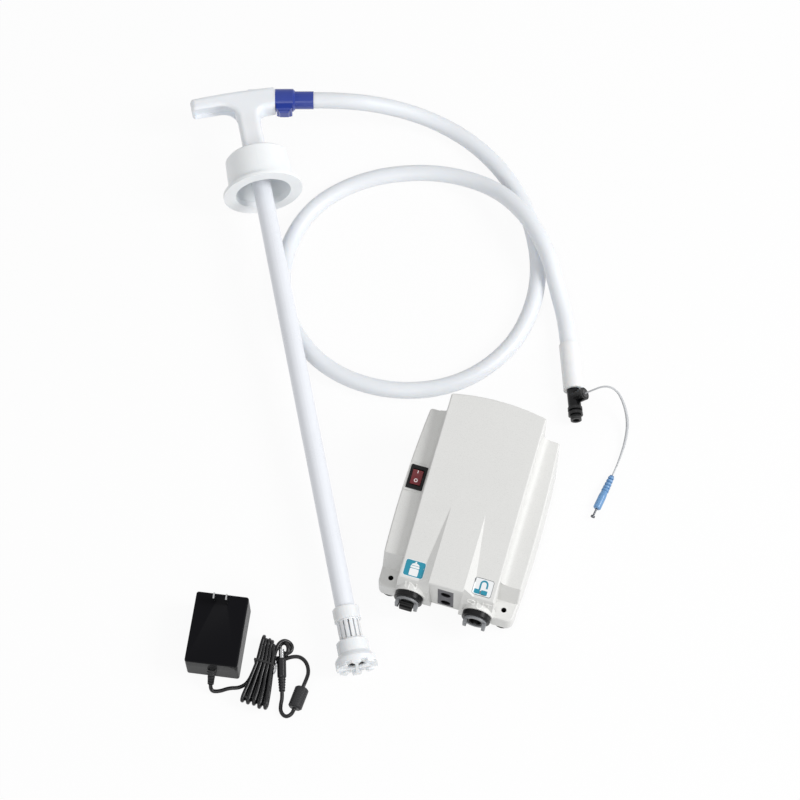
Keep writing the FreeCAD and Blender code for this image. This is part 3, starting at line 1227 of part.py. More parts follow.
def bottle_cap():
    crown = -SKIRT_LENGTH
    inner_crown = SKIRT_R_CROWN - SKIRT_WALL
    hub_r = TUBE_R + SLIDE_GAP
    outline = [
        (crown - CAP_HUB_RISE, hub_r), (crown - CAP_HUB_RISE, CAP_HUB_R), (crown, CAP_HUB_R + 1.5),
        (crown, SKIRT_R_CROWN - CROWN_EDGE_R), (crown + CROWN_EDGE_R, SKIRT_R_CROWN),
        (-FLANGE_THICKNESS, SKIRT_R_OPEN), (-FLANGE_THICKNESS, FLANGE_R), (0, FLANGE_R),
        (0, CAP_OPENING_R), (-CAP_LIP_LENGTH, CAP_OPENING_R), (-CAP_LIP_LENGTH - 1, inner_crown),
        (crown + CROWN_THICKNESS, inner_crown), (crown + CROWN_THICKNESS, CAP_HUB_R - 1),
        (crown + CAP_HUB_DROP, CAP_HUB_R - 1.5), (crown + CAP_HUB_DROP, hub_r),
    ]
    return turned(revolve_outline(outline), WAND)


def latch_block(reach, depth, grow):
    # the thumb latch stands on the side of the coupling that faces the foot
    start = LATCH_START - grow
    end = LATCH_START + LATCH_LENGTH + grow
    half = LATCH_WIDTH / 2 + grow
    return box(start, end, -reach, -depth, -half, half)


def bevel_outer(block):
    outer = [e for e in block.Edges if abs(e.CenterOfMass.y - block.BoundBox.YMin) < 0.01]
    return block.makeChamfer(LATCH_BEVEL, outer)


def handle_coupling():
    bevel = COUPLING_CHAMFER
    outline = [(0, 0), (0, COUPLING_R), (COUPLING_LENGTH - bevel, COUPLING_R),
               (COUPLING_LENGTH, COUPLING_R - bevel), (COUPLING_LENGTH, 0)]
    body = revolve_outline(outline)
    guard = bevel_outer(latch_block(COUPLING_R + LATCH_GUARD, LATCH_FLOOR, LATCH_GUARD_WALL))
    guard = guard.common(box(0, COUPLING_LENGTH, -50, 50, -50, 50))
    flow = rod(V(-1, 0, 0), X_AXIS, HANDLE_FLOW_R, COUPLING_LENGTH + 2)
    socket = rod(V(COUPLING_LENGTH - INSERT_SOCKET, 0, 0), X_AXIS, INSERT_SPIGOT_R, INSERT_SOCKET + 1)
    pocket = latch_block(LATCH_REACH + 10, LATCH_FLOOR, FIT_GAP)
    shell = cut(fuse([body, guard]), [flow, socket, pocket])
    return turned(turned(shell, ARM), WAND)


def coupling_latch():
    latch = latch_block(LATCH_REACH, LATCH_FLOOR + LATCH_TRAVEL + FIT_GAP, 0.0)
    return turned(turned(bevel_outer(latch), ARM), WAND)


def hose_insert():
    root = COUPLING_LENGTH - INSERT_SOCKET
    end = COUPLING_LENGTH + INSERT_LENGTH
    outline = [(root, INSERT_BORE_R), (root, INSERT_SPIGOT_R), (COUPLING_LENGTH, INSERT_SPIGOT_R),
               (COUPLING_LENGTH, INSERT_R), (end, INSERT_R), (end, INSERT_BORE_R)]
    return turned(turned(revolve_outline(outline), ARM), WAND)


def foot_collar():
    start = COLLAR_START
    end = start + COLLAR_LENGTH
    seat = start + TUBE_SEAT
    outline = [(start, TUBE_R), (start, COLLAR_R - 1.2), (start + 1.2, COLLAR_R), (end, COLLAR_R),
               (end, CAGE_BORE_R), (end - CAGE_SOCKET, CAGE_BORE_R), (end - CAGE_SOCKET, TUBE_R - TUBE_WALL),
               (seat, TUBE_R - TUBE_WALL), (seat, TUBE_R)]
    return turned(revolve_outline(outline), WAND)


def float_cage():
    start = COLLAR_START + COLLAR_LENGTH
    end = start + CAGE_LENGTH
    ring = pipe(V(start, 0, 0), X_AXIS, CAGE_R, CAGE_BORE_R - 0.6, CAGE_LENGTH)
    spigot = pipe(V(start - CAGE_SOCKET, 0, 0), X_AXIS, CAGE_BORE_R, CAGE_BORE_R - 0.8, CAGE_SOCKET + 1)
    slots = []
    for index in range(CAGE_SLOTS):
        slot = box(start + CAGE_END_BAND, end - CAGE_END_BAND, -CAGE_SLOT_WIDTH / 2, CAGE_SLOT_WIDTH / 2,
                   CAGE_BORE_R - 3, CAGE_R + 1)
        slot.rotate(V(0, 0, 0), X_AXIS, 360 * index / CAGE_SLOTS)
        slots.append(slot)
    return turned(cut(fuse([ring, spigot]), slots), WAND)


def foot_base():
    start = FOOT_BASE_START
    flare = start + FOOT_COLLAR_LENGTH
    flange = flare + FOOT_FLARE_LENGTH
    outline = [(start, 0), (start, FOOT_COLLAR_R - 1.5), (start + 1.5, FOOT_COLLAR_R), (flare, FOOT_COLLAR_R),
               (flange, FOOT_FLANGE_R - 0.8), (flange + 1.5, FOOT_FLANGE_R), (FOOT_END, FOOT_FLANGE_R),
               (FOOT_END, 0)]
    body = revolve_outline(outline)
    hollow_start = start + SPIDER_THICKNESS
    seat_at = FOOT_END - FOOT_MOUTH_DEPTH - FOOT_SEAT_THICKNESS
    body = body.cut(rod(V(hollow_start, 0, 0), X_AXIS, FOOT_BORE_R, seat_at - hollow_start))
    body = body.cut(rod(V(seat_at - 1, 0, 0), X_AXIS, FOOT_SEAT_R, FOOT_SEAT_THICKNESS + 2))
    body = body.cut(rod(V(FOOT_END - FOOT_MOUTH_DEPTH, 0, 0), X_AXIS, FOOT_MOUTH_R, FOOT_MOUTH_DEPTH + 1))
    arms = rod(V(start - 1, 0, 0), X_AXIS, CAGE_BORE_R - 1, SPIDER_THICKNESS + 2)
    for index in range(3):
        arm = box(start - 2, start + SPIDER_THICKNESS + 1, -1.2, 1.2, 0, 20)
        arm.rotate(V(0, 0, 0), X_AXIS, 120 * index)
        arms = arms.cut(arm)
    arms = arms.cut(rod(V(start - 2, 0, 0), X_AXIS, REED_STEM_R + 0.6, 10))
    stem = rod(V(COLLAR_START + COLLAR_LENGTH + 1, 0, 0), X_AXIS, REED_STEM_R,
               start + SPIDER_THICKNESS - COLLAR_START - COLLAR_LENGTH - 1)
    notches = []
    for index in range(FOOT_NOTCH_COUNT):
        # a tooth, not a notch, stands lowest, where the foot rests on the floor
        notch = box(FOOT_END - FOOT_NOTCH_DEPTH, FOOT_END + 1, -FOOT_NOTCH_WIDTH / 2, FOOT_NOTCH_WIDTH / 2,
                    FOOT_MOUTH_R - 1, FOOT_FLANGE_R + 1)
        notch.rotate(V(0, 0, 0), X_AXIS, 360 * (index + 0.5) / FOOT_NOTCH_COUNT)
        notches.append(notch)
    body = cut(body, notches)
    bars = []
    for angle in (0, 90):
        bar = box(FOOT_END - FOOT_MOUTH_DEPTH + 1, FOOT_END, -FOOT_BAR_WIDTH / 2, FOOT_BAR_WIDTH / 2,
                  -FOOT_MOUTH_R - 1, FOOT_MOUTH_R + 1)
        bar.rotate(V(0, 0, 0), X_AXIS, angle)
        bars.append(bar)
    return turned(fuse([body.cut(arms), stem] + bars), WAND)


def float_ring():
    start = COLLAR_START + COLLAR_LENGTH + CAGE_LENGTH - FLOAT_LENGTH - 0.5
    return turned(pipe(V(start, 0, 0), X_AXIS, FLOAT_R, REED_STEM_R + FLOAT_GAP, FLOAT_LENGTH), WAND)


def foot_valve():
    seat_at = FOOT_END - FOOT_MOUTH_DEPTH - FOOT_SEAT_THICKNESS
    disc = rod(V(seat_at - POPPET_THICKNESS - 0.05, 0, 0), X_AXIS, POPPET_R, POPPET_THICKNESS)
    stem = rod(V(seat_at - POPPET_THICKNESS - 5, 0, 0), X_AXIS, 2.0, 6)
    return turned(fuse([disc, stem]), WAND)


TEE = placement_along(V(TEE_TOP_X, TEE_TOP_Y, SLEEVE_R), TEE_HEADING, 0)
BRANCH = placement_along(V(SLEEVE_LENGTH + TEE_BRANCH_AT, 0, 0), 90, -TEE_BRANCH_LIFT)
TEE_RUN_END = SLEEVE_LENGTH + TEE_RUN_LENGTH


def hose_sleeve():
    bore = rod(V(4, 0, 0), X_AXIS, TEE_FLOW_R, SLEEVE_LENGTH)
    seat = rod(V(SLEEVE_LENGTH - TEE_BARB_LENGTH, 0, 0), X_AXIS, TEE_BARB_R, TEE_BARB_LENGTH + 1)
    sleeve = rod(V(0, 0, 0), X_AXIS, SLEEVE_R, SLEEVE_LENGTH)
    return turned(cut(sleeve, [bore, seat]), TEE)


def tee_fitting():
    start = SLEEVE_LENGTH
    run = rod(V(start, 0, 0), X_AXIS, TEE_RUN_R, TEE_RUN_LENGTH)
    barb = rod(V(start - TEE_BARB_LENGTH, 0, 0), X_AXIS, TEE_BARB_R, TEE_BARB_LENGTH + 1)
    branch = turned(rod(V(0, 0, 0), X_AXIS, TEE_BRANCH_R, TEE_BRANCH_REACH), BRANCH)
    end = TEE_RUN_END
    collar = rod(V(end, 0, 0), X_AXIS, TEE_FLANGE_R, TEE_FLANGE_LENGTH)
    groove = rod(V(end + TEE_FLANGE_LENGTH, 0, 0), X_AXIS, TEE_GROOVE_R, TEE_GROOVE_LENGTH)
    flange = rod(V(end + TEE_FLANGE_LENGTH + TEE_GROOVE_LENGTH, 0, 0), X_AXIS,
                 TEE_FLANGE_R, TEE_FLANGE_LENGTH)
    nose = rod(V(end, 0, 0), X_AXIS, TEE_NOSE_R, 2 * TEE_FLANGE_LENGTH + TEE_GROOVE_LENGTH + TEE_NOSE_LENGTH)
    flow = rod(V(start - TEE_BARB_LENGTH - 1, 0, 0), X_AXIS, TEE_FLOW_R, 80)
    recess = turned(rod(V(TEE_BRANCH_REACH - GLAND_THICKNESS, 0, 0), X_AXIS, GLAND_R, 4), BRANCH)
    seal = tee_seal_shape()
    body = fuse([run, barb, branch, collar, groove, flange, nose])
    return turned(cut(body, [flow, recess, seal]), TEE)


def tee_seal_shape():
    at = TEE_RUN_END + 2 * TEE_FLANGE_LENGTH + TEE_GROOVE_LENGTH + 3.0
    ring = pipe(V(at, 0, 0), X_AXIS, TEE_NOSE_R, TEE_NOSE_R - 1.1, 1.8)
    return ring


def lead_gland():
    disc = turned(rod(V(TEE_BRANCH_REACH - GLAND_THICKNESS, 0, 0),
                      X_AXIS, GLAND_R, GLAND_THICKNESS + 0.6), BRANCH)
    return turned(disc, TEE)


def shell_half(low, high, cavity_low, cavity_high):
    half_w = ADAPTER_WIDTH / 2
    half_l = ADAPTER_LENGTH / 2
    outer = box(-half_w, half_w, -half_l, half_l, low, high)
    outer = outer.makeFillet(ADAPTER_CORNER_R, [e for e in outer.Edges if e.BoundBox.ZLength > 1])
    inner = box(-half_w + ADAPTER_WALL, half_w - ADAPTER_WALL, -half_l + ADAPTER_WALL, half_l - ADAPTER_WALL,
                cavity_low, cavity_high)
    return outer, inner


ADAPTER = placement_along(V(ADAPTER_X, ADAPTER_Y, 0), ADAPTER_HEADING, 0)
ADAPTER_SPLIT_Z = ADAPTER_HEIGHT - ADAPTER_LID_HEIGHT
RELIEF = placement_along(V(0, -ADAPTER_LENGTH / 2, RELIEF_Z), -90, RELIEF_TILT)


def adapter_case():
    outer, inner = shell_half(0, ADAPTER_SPLIT_Z, ADAPTER_WALL, ADAPTER_SPLIT_Z + 1)
    rim = [e for e in outer.Edges if e.BoundBox.ZMax < 0.01]
    outer = outer.makeFillet(1.0, rim)
    mouth = turned(rod(V(-6, 0, 0), X_AXIS, RELIEF_TIP_R, 20), RELIEF)
    return turned(cut(outer, [inner, mouth]), ADAPTER)


def blade_slots(margin):
    slots = []
    for side in (-1, 1):
        x = BLADE_MID_X + side * BLADE_PITCH / 2
        slots.append(box(x - BLADE_THICKNESS / 2 - margin, x + BLADE_THICKNESS / 2 + margin,
                         BLADE_MID_Y - BLADE_WIDTH / 2 - margin, BLADE_MID_Y + BLADE_WIDTH / 2 + margin,
                         ADAPTER_HEIGHT - ADAPTER_WALL - 6, ADAPTER_HEIGHT + BLADE_LENGTH))
    return slots


def adapter_lid():
    outer, inner = shell_half(ADAPTER_SPLIT_Z, ADAPTER_HEIGHT,
                              ADAPTER_SPLIT_Z - 1, ADAPTER_HEIGHT - ADAPTER_WALL)
    rim = [e for e in outer.Edges if e.BoundBox.ZMin > ADAPTER_HEIGHT - 0.01]
    outer = outer.makeFillet(1.8, rim)
    return turned(cut(outer, [inner] + blade_slots(0.0)), ADAPTER)


def adapter_blades():
    blades = []
    for slot in blade_slots(0.0):
        x = (slot.BoundBox.XMin + slot.BoundBox.XMax) / 2
        tip = [e for e in slot.Edges if e.BoundBox.ZMin > ADAPTER_HEIGHT + BLADE_LENGTH - 0.01
               and e.BoundBox.XLength > 1 and e.BoundBox.YLength < 0.1]
        blade = slot.makeChamfer(1.6, tip)
        hole = rod(V(x - 5, BLADE_MID_Y, ADAPTER_HEIGHT + BLADE_LENGTH - 4.5), X_AXIS, BLADE_HOLE_R, 10)
        blades.append(turned(blade.cut(hole), ADAPTER))
    return blades


def ribbed_relief(root_r, tip_r, length, ribs):
    # a tapered relief with ring grooves; x = 0 at the root
    points = [(0, 0), (0, root_r)]
    step = length / ribs
    for index in range(ribs):
        x = index * step
        r0 = root_r + (tip_r - root_r) * (x + step * 0.6) / length
        r1 = root_r + (tip_r - root_r) * (x + step) / length
        points += [(x + step * 0.6, r0), (x + step * 0.6, r0 - 0.7), (x + step * 0.95, r1 - 0.7),
                   (x + step * 0.95, r1)]
    points += [(length, tip_r), (length, 0)]
    return revolve_outline(points)


def adapter_relief():
    relief = ribbed_relief(RELIEF_ROOT_R, RELIEF_TIP_R, RELIEF_LENGTH, 5)
    collar = rod(V(-1.5, 0, 0), X_AXIS, RELIEF_COLLAR_R, RELIEF_COLLAR_LENGTH + 1.5)
    plug = rod(V(-ADAPTER_WALL - 1, 0, 0), X_AXIS, RELIEF_TIP_R, ADAPTER_WALL + 2)
    whole = turned(fuse([relief, collar, plug]), RELIEF)
    outer, inner = shell_half(0, ADAPTER_HEIGHT, -1, ADAPTER_HEIGHT + 1)
    keep = turned(rod(V(-6, 0, 0), X_AXIS, RELIEF_TIP_R, 20), RELIEF)
    return turned(whole.cut(outer.cut(keep)), ADAPTER)


def cord_hank():
    plan = [V(x, y, HANK_FLOOR_Z) for x, y in HANK_OUTLINE]
    hank = extrude_outline(plan, V(0, 0, HANK_HEIGHT))
    rims = [e for e in hank.Edges if e.BoundBox.ZLength < 0.01 and e.CenterOfMass.z > HANK_HEIGHT - 1]
    hank = hank.makeChamfer(HANK_BEVEL, rims)
    beyond = HANK_HEIGHT + HANK_BEVEL
    return hank.cut(waist_band(HANK_WAIST_LEFT - beyond, HANK_WAIST_RIGHT + beyond, beyond))


def waist_band(left, right, top):
    # a square band round the hank's waist, as thick as the tie that lies in it
    outer = box(left, right, HANK_TIE_Y - TIE_R, HANK_TIE_Y + TIE_R, HANK_FLOOR_Z, top)
    thick = 2 * TIE_R
    core = box(HANK_WAIST_LEFT + thick, HANK_WAIST_RIGHT - thick, HANK_TIE_Y - thick, HANK_TIE_Y + thick,
               HANK_FLOOR_Z + thick, HANK_HEIGHT - thick)
    return outer.cut(core)


def hank_tie():
    return waist_band(HANK_WAIST_LEFT, HANK_WAIST_RIGHT, HANK_HEIGHT)


PLUG = placement_between(PLUG_TAIL, PLUG_TIP)
PLUG_LENGTH = PLUG_TIP.sub(PLUG_TAIL).Length
PLUG_RELIEF_LENGTH = PLUG_LENGTH - PLUG_BARREL_LENGTH - PLUG_BODY_LENGTH


def dc_plug():
    # x = 0 at the tail, where the cord comes in
    relief = ribbed_relief(PLUG_BODY_R - 1.2, CORD_R + 0.9, PLUG_RELIEF_LENGTH, 5)
    relief = relief.mirror(V(0, 0, 0), X_AXIS)
    relief.translate(V(PLUG_RELIEF_LENGTH, 0, 0))
    end = PLUG_RELIEF_LENGTH + PLUG_BODY_LENGTH
    outline = [(PLUG_RELIEF_LENGTH, 0), (PLUG_RELIEF_LENGTH, PLUG_BODY_R - 0.8),
               (PLUG_RELIEF_LENGTH + 2, PLUG_BODY_R),
               (end - 2, PLUG_BODY_R), (end, PLUG_BODY_R - 0.9), (end, 0)]
    return turned(fuse([relief, revolve_outline(outline)]), PLUG)


def dc_plug_barrel():
    start = PLUG_RELIEF_LENGTH + PLUG_BODY_LENGTH
    return turned(pipe(V(start, 0, 0), X_AXIS, PLUG_BARREL_R, PLUG_BARREL_BORE_R, PLUG_BARREL_LENGTH), PLUG)


FERRITE = placement_between(FERRITE_TAIL, FERRITE_TOP)
FERRITE_LENGTH = FERRITE_TOP.sub(FERRITE_TAIL).Length


def ferrite_bead():
    bevel = 1.6
    hole = CORD_R + FIT_GAP
    outline = [(0, hole), (0, FERRITE_R - bevel), (bevel, FERRITE_R), (FERRITE_LENGTH - bevel, FERRITE_R),
               (FERRITE_LENGTH, FERRITE_R - bevel), (FERRITE_LENGTH, hole)]
    return turned(revolve_outline(outline), FERRITE)


FLOAT_PLUG = placement_along(FLOAT_PLUG_TAIL, FLOAT_PLUG_HEADING, 0)


def float_plug():
    relief = ribbed_relief(FLOAT_PLUG_RELIEF_R, LEAD_R + 1.2, FLOAT_PLUG_RELIEF_LENGTH, 5)
    relief = relief.mirror(V(0, 0, 0), X_AXIS)
    relief.translate(V(FLOAT_PLUG_RELIEF_LENGTH, 0, 0))
    end = FLOAT_PLUG_RELIEF_LENGTH + FLOAT_PLUG_BODY_LENGTH
    outline = [(FLOAT_PLUG_RELIEF_LENGTH, 0), (FLOAT_PLUG_RELIEF_LENGTH, FLOAT_PLUG_R - 0.8),
               (FLOAT_PLUG_RELIEF_LENGTH + 6, FLOAT_PLUG_R),
               (end - 1, FLOAT_PLUG_R), (end, FLOAT_PLUG_R - 1), (end, 0)]
    return turned(fuse([relief, revolve_outline(outline)]), FLOAT_PLUG)


def float_plug_pin():
    start = FLOAT_PLUG_RELIEF_LENGTH + FLOAT_PLUG_BODY_LENGTH
    pin = rod(V(start, 0, 0), X_AXIS, FLOAT_PIN_R, FLOAT_PIN_LENGTH)
    head = rod(V(start + FLOAT_PIN_LENGTH - FLOAT_PIN_HEAD_LENGTH, 0, 0), X_AXIS, FLOAT_PIN_HEAD_R,
               FLOAT_PIN_HEAD_LENGTH)
    return turned(fuse([pin, head]), FLOAT_PLUG)


def hose_points():
    exit_x = COUPLING_LENGTH + INSERT_LENGTH
    start = WAND.multVec(ARM.multVec(V(exit_x, 0, 0)))
    lead = WAND.multVec(ARM.multVec(V(exit_x + 38, 0, 0)))
    end = TEE.multVec(V(0, 0, 0))
    before = TEE.multVec(V(-28, 0, 0))
    route = [V(*p) for p in HOSE_ROUTE]
    return [start, lead] + route + [before, end]


def lead_points():
    gland_face = TEE_BRANCH_REACH + 0.6
    start = TEE.multVec(BRANCH.multVec(V(gland_face, 0, 0)))
    lead = TEE.multVec(BRANCH.multVec(V(gland_face + 6, 0, 0)))
    end = FLOAT_PLUG.multVec(V(0, 0, 0))
    before = FLOAT_PLUG.multVec(V(-8, 0, 0))
    return [start, lead] + [V(*p) for p in LEAD_ROUTE] + [before, end]


def adapter_lead_points():
    end = RELIEF.multVec(V(RELIEF_LENGTH, 0, 0))
    return [ADAPTER.multVec(end)] + [V(*p) for p in ADAPTER_LEAD_ROUTE] + [ADAPTER_LEAD_END]


def plug_lead_points():
    # out of the plug, round and through the ferrite, back to the hank
    straight = PLUG.multVec(V(-PLUG_LEAD_START, 0, 0))
    inward = [V(*p) for p in PLUG_LEAD_ROUTE]
    through = [FERRITE.multVec(V(-FERRITE_LEAD_IN, 0, 0)),
               FERRITE.multVec(V(FERRITE_LENGTH + FERRITE_LEAD_OUT, 0, 0))]
    outward = [V(*p) for p in FERRITE_LEAD_ROUTE]
    return [PLUG_TAIL, straight] + inward + through + outward + [FERRITE_LEAD_END]


def build_case():
    save("top_cover", top_cover())
    save("base_pan", base_pan())
    rear_feet = [rubber_foot(side * REAR_FOOT_HALF, REAR_FOOT_Y) for side in (-1, 1)]
    save("rubber_feet", front_foot(-1), front_foot(1), *rear_feet)
    save("cover_screws", *[cover_screw(x, y) for x, y in cover_screw_spots()])
    save("in_port_socket", port_socket(-1))
    save("out_port_socket", port_socket(1))
    save("port_seals", port_seal(-1), port_seal(1))
    save("in_port_clip", port_clip(-1))
    save("out_port_clip", port_clip(1))
    save("in_port_plug", in_port_plug())
    save("jack_panel", jack_panel())
    save("switch_housing", switch_housing())
    save("rocker_button", rocker_button())


def build_works():
    save("pump_head", pump_head())
    save("valve_plate", valve_plate())
    save("check_valves", *check_valves())
    diaphragm = cut(works_box(DIAPHRAGM_Y, DIAPHRAGM_LENGTH),
                    screw_holes(DIAPHRAGM_Y, DIAPHRAGM_LENGTH, HEAD_SCREW_GAP))
    save("diaphragm", diaphragm)
    save("pump_lower_housing", lower_housing())
    save("pump_head_screws", *[head_screw(x, z) for x, z in works_corners()])
    save("wobble_plate", wobble_plate())
    save("cam_bearing", pipe(V(0, BEARING_Y, WORKS_Z), Y_AXIS,
                             BEARING_OUTER_R, BEARING_INNER_R, BEARING_LENGTH))
    save("eccentric_cam", eccentric_cam())
    save("motor_shaft", motor_shaft())
    save("motor_end_cap", motor_end_cap())
    save("motor_can", motor_can())
    save("isolator_mounts", *isolator_mounts())
    save("inlet_tube", flow_tube(-1))
    save("outlet_tube", flow_tube(1))
    save("pressure_switch", pressure_switch())
    save("control_board", *control_board())


def build_wand():
    save("wand_handle", wand_handle())
    save("suction_tube", suction_tube())
    save("bottle_cap", bottle_cap())
    save("handle_coupling", handle_coupling())
    save("coupling_latch", coupling_latch())
    save("hose_insert", hose_insert())
    save("foot_collar", foot_collar())
    save("float_cage", float_cage())
    save("float_ring", float_ring())
    save("foot_base", foot_base())
    save("foot_valve", foot_valve())


def build_hose():
    save("suction_hose", cord("suction_hose", hose_points(), HOSE_R))
    save("hose_sleeve", hose_sleeve())
    save("tee_fitting", tee_fitting())
    save("tee_seal", turned(tee_seal_shape(), TEE))
    save("lead_gland", lead_gland())
    save("float_lead", cord("float_lead", lead_points(), LEAD_R))
    save("float_plug", float_plug())
    save("float_plug_pin", float_plug_pin())


def build_adapter():
    save("adapter_case", adapter_case())
    save("adapter_lid", adapter_lid())
    save("adapter_blades", *adapter_blades())
    save("adapter_relief", adapter_relief())
    save("adapter_lead", cord("adapter_lead", adapter_lead_points(), CORD_R))
    save("cord_hank", cord_hank())
    save("hank_tie", hank_tie())
    save("plug_lead", cord("plug_lead", plug_lead_points(), CORD_R))
    save("ferrite_bead", ferrite_bead())
    save("dc_plug", dc_plug())
    save("dc_plug_barrel", dc_plug_barrel())


os.makedirs("parts", exist_ok=True)
build_case()
build_works()
build_wand()
build_hose()
build_adapter()
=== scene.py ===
# %% [markdown]
# This script dresses a bottled water pump: a grey case with a motor and pump inside,
# a long suction wand that goes down into a large water bottle, a soft white hose, a float
# lead and a mains adapter with its folded cord. The CAD model is the frame. It is loaded
# first, and every piece made here rides on one of its moving bodies.
# %% Load the frame
import math
import random

import bmesh
import bpy
from mathutils import Matrix, Vector
from mathutils.bvhtree import BVHTree


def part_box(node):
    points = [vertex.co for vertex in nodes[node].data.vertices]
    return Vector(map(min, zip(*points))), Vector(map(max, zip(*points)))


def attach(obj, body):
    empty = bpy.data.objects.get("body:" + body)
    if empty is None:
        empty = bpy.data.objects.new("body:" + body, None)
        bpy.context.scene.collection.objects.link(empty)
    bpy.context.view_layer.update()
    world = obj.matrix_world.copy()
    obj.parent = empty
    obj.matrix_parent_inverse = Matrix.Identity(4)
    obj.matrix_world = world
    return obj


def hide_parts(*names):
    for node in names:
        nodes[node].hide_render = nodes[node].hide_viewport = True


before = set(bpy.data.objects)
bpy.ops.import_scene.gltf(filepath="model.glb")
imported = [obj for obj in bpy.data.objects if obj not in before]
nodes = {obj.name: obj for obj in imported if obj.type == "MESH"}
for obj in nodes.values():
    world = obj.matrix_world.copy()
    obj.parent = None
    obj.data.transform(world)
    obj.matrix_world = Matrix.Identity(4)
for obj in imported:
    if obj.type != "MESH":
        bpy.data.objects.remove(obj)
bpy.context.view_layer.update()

MM = 0.001

# %% [markdown]
# A camera is a pinhole: where it stands, what it looks at and how long its lens is.
# The long lens keeps the far end of the hose almost as large as the near end of the case.
# Building its three axes from vectors leaves no doubt about which way it is rolled.
# %% Camera
EYE = Vector((0.2472, -0.8984, 2.3818))
TARGET = Vector((-0.1137, 0.2058, 0.0))
ROLL = math.radians(-1.0)
LENS_MM = 112.68


def camera_axes(eye, target, roll):
    """Right, up and back of a camera, as the columns of its rotation."""
    ahead = (target - eye).normalized()
    right = ahead.cross(Vector((0, 0, 1))).normalized()
    up = right.cross(ahead)
    turned_right = right * math.cos(roll) + up * math.sin(roll)
    turned_up = up * math.cos(roll) - right * math.sin(roll)
    return Matrix((turned_right, turned_up, -ahead)).transposed()


camera = bpy.data.objects.new("camera", bpy.data.cameras.new("camera"))
camera.data.lens = LENS_MM
camera.matrix_world = Matrix.Translation(EYE) @ camera_axes(EYE, TARGET, ROLL).to_4x4()
bpy.context.scene.collection.objects.link(camera)
bpy.context.scene.camera = camera
print("camera at", [round(c, 3) for c in EYE])

# %% [markdown]
# A finish is a small tree of shader nodes. Written as a sum, it is easy to read:
# `1 - mask` or `grain * 0.5 + 0.2`. The class below wraps one output of a node, and each
# sum on it adds the Math node that works it out. Colours and vectors have their own nodes.
# %% Shader sums
class Wire:
    """One output of a node, which can be used in sums."""

    def __init__(self, finish, socket):
        self.finish = finish
        self.socket = socket

    def sum(self, operation, first, second=0.0):
        return self.finish.node("ShaderNodeMath", {"operation": operation}, {0: first, 1: second})

    def __add__(self, other):
        return self.sum("ADD", self, other)

    def __radd__(self, other):
        return self.sum("ADD", other, self)

    def __sub__(self, other):
        return self.sum("SUBTRACT", self, other)

    def __rsub__(self, other):
        return self.sum("SUBTRACT", other, self)

    def __mul__(self, other):
        return self.sum("MULTIPLY", self, other)

    def __rmul__(self, other):
        return self.sum("MULTIPLY", other, self)

    def or_more(self, other):
        return self.sum("MAXIMUM", self, other)

    def sine(self):
        return self.sum("SINE", self)

    def size(self):
        return self.sum("ABSOLUTE", self)


def linear(red, green, blue):
    """A colour written as on screen, from 0 to 255, as the shader wants it."""
    def one(c):
        c = c / 255
        return c / 12.92 if c <= 0.04045 else ((c + 0.055) / 1.055) ** 2.4
    return (one(red), one(green), one(blue), 1.0)


print("grey 128 is", round(linear(128, 128, 128)[0], 3))

# %% [markdown]
# The nodes themselves are made by one method. It takes the kind of node, its settings,
# and the value or the link of each socket. The other methods only name common uses of it.
# %% Finish class
class Finish:
    """A material or a world under construction."""

    def __init__(self, owner):
        self.owner = owner
        owner.use_nodes = True
        self.tree = owner.node_tree
        self.tree.nodes.clear()

    def node(self, kind, settings=None, sockets=None, output=0):
        made = self.tree.nodes.new(kind)
        for key, value in (settings or {}).items():
            setattr(made, key, value)
        for key, value in (sockets or {}).items():
            if isinstance(value, Wire):
                self.tree.links.new(value.socket, made.inputs[key])
            else:
                made.inputs[key].default_value = value
        return Wire(self, made.outputs[output]) if made.outputs else None

    def place(self):
        """Where a point is on the object, in metres."""
        return self.node("ShaderNodeTexCoord", output=3)

    def along(self, direction):
        """How far a point lies along a direction, in metres."""
        return self.node("ShaderNodeVectorMath", {"operation": "DOT_PRODUCT"},
                         {0: self.place(), 1: direction}, output=1)

    def noise(self, scale, detail=2.0, roughness=0.5, where=None):
        return self.node("ShaderNodeTexNoise", {"noise_dimensions": "3D"},
                         {"Vector": where or self.place(), "Scale": scale,
                          "Detail": detail, "Roughness": roughness})

    def band(self, value, low, high):
        """0 below low, 1 above high, and a smooth change in between."""
        return self.node("ShaderNodeMapRange", {"interpolation_type": "SMOOTHSTEP"},
                         {"Value": value, "From Min": low, "From Max": high})

    def blend(self, share, first, second):
        """A colour between two, by a share from 0 to 1."""
        return self.node("ShaderNodeMix", {"data_type": "RGBA"},
                         {0: share, 6: first, 7: second}, output=2)

    def relief(self, height, depth_mm, under=None):
        """Small relief of that depth, as a normal."""
        sockets = {"Height": height, "Strength": 1.0, "Distance": depth_mm * MM}
        if under is not None:
            sockets["Normal"] = under
        return self.node("ShaderNodeBump", None, sockets)

    def face_up(self):
        """How far a surface faces up or down: 1 on a level face, 0 on an upright one."""
        facing = self.node("ShaderNodeTexCoord", output=1)
        return self.node("ShaderNodeVectorMath", {"operation": "DOT_PRODUCT"},
                         {0: facing, 1: (0, 0, 1)}, output=1).size()

    def show(self, **sockets):
        shader = self.node("ShaderNodeBsdfPrincipled", None,
                           {key.replace("_", " "): value for key, value in sockets.items()})
        self.node("ShaderNodeOutputMaterial", None, {0: shader})
        return self.owner


def new_finish(name):
    return Finish(bpy.data.materials.new(name))


print("finish class ready")

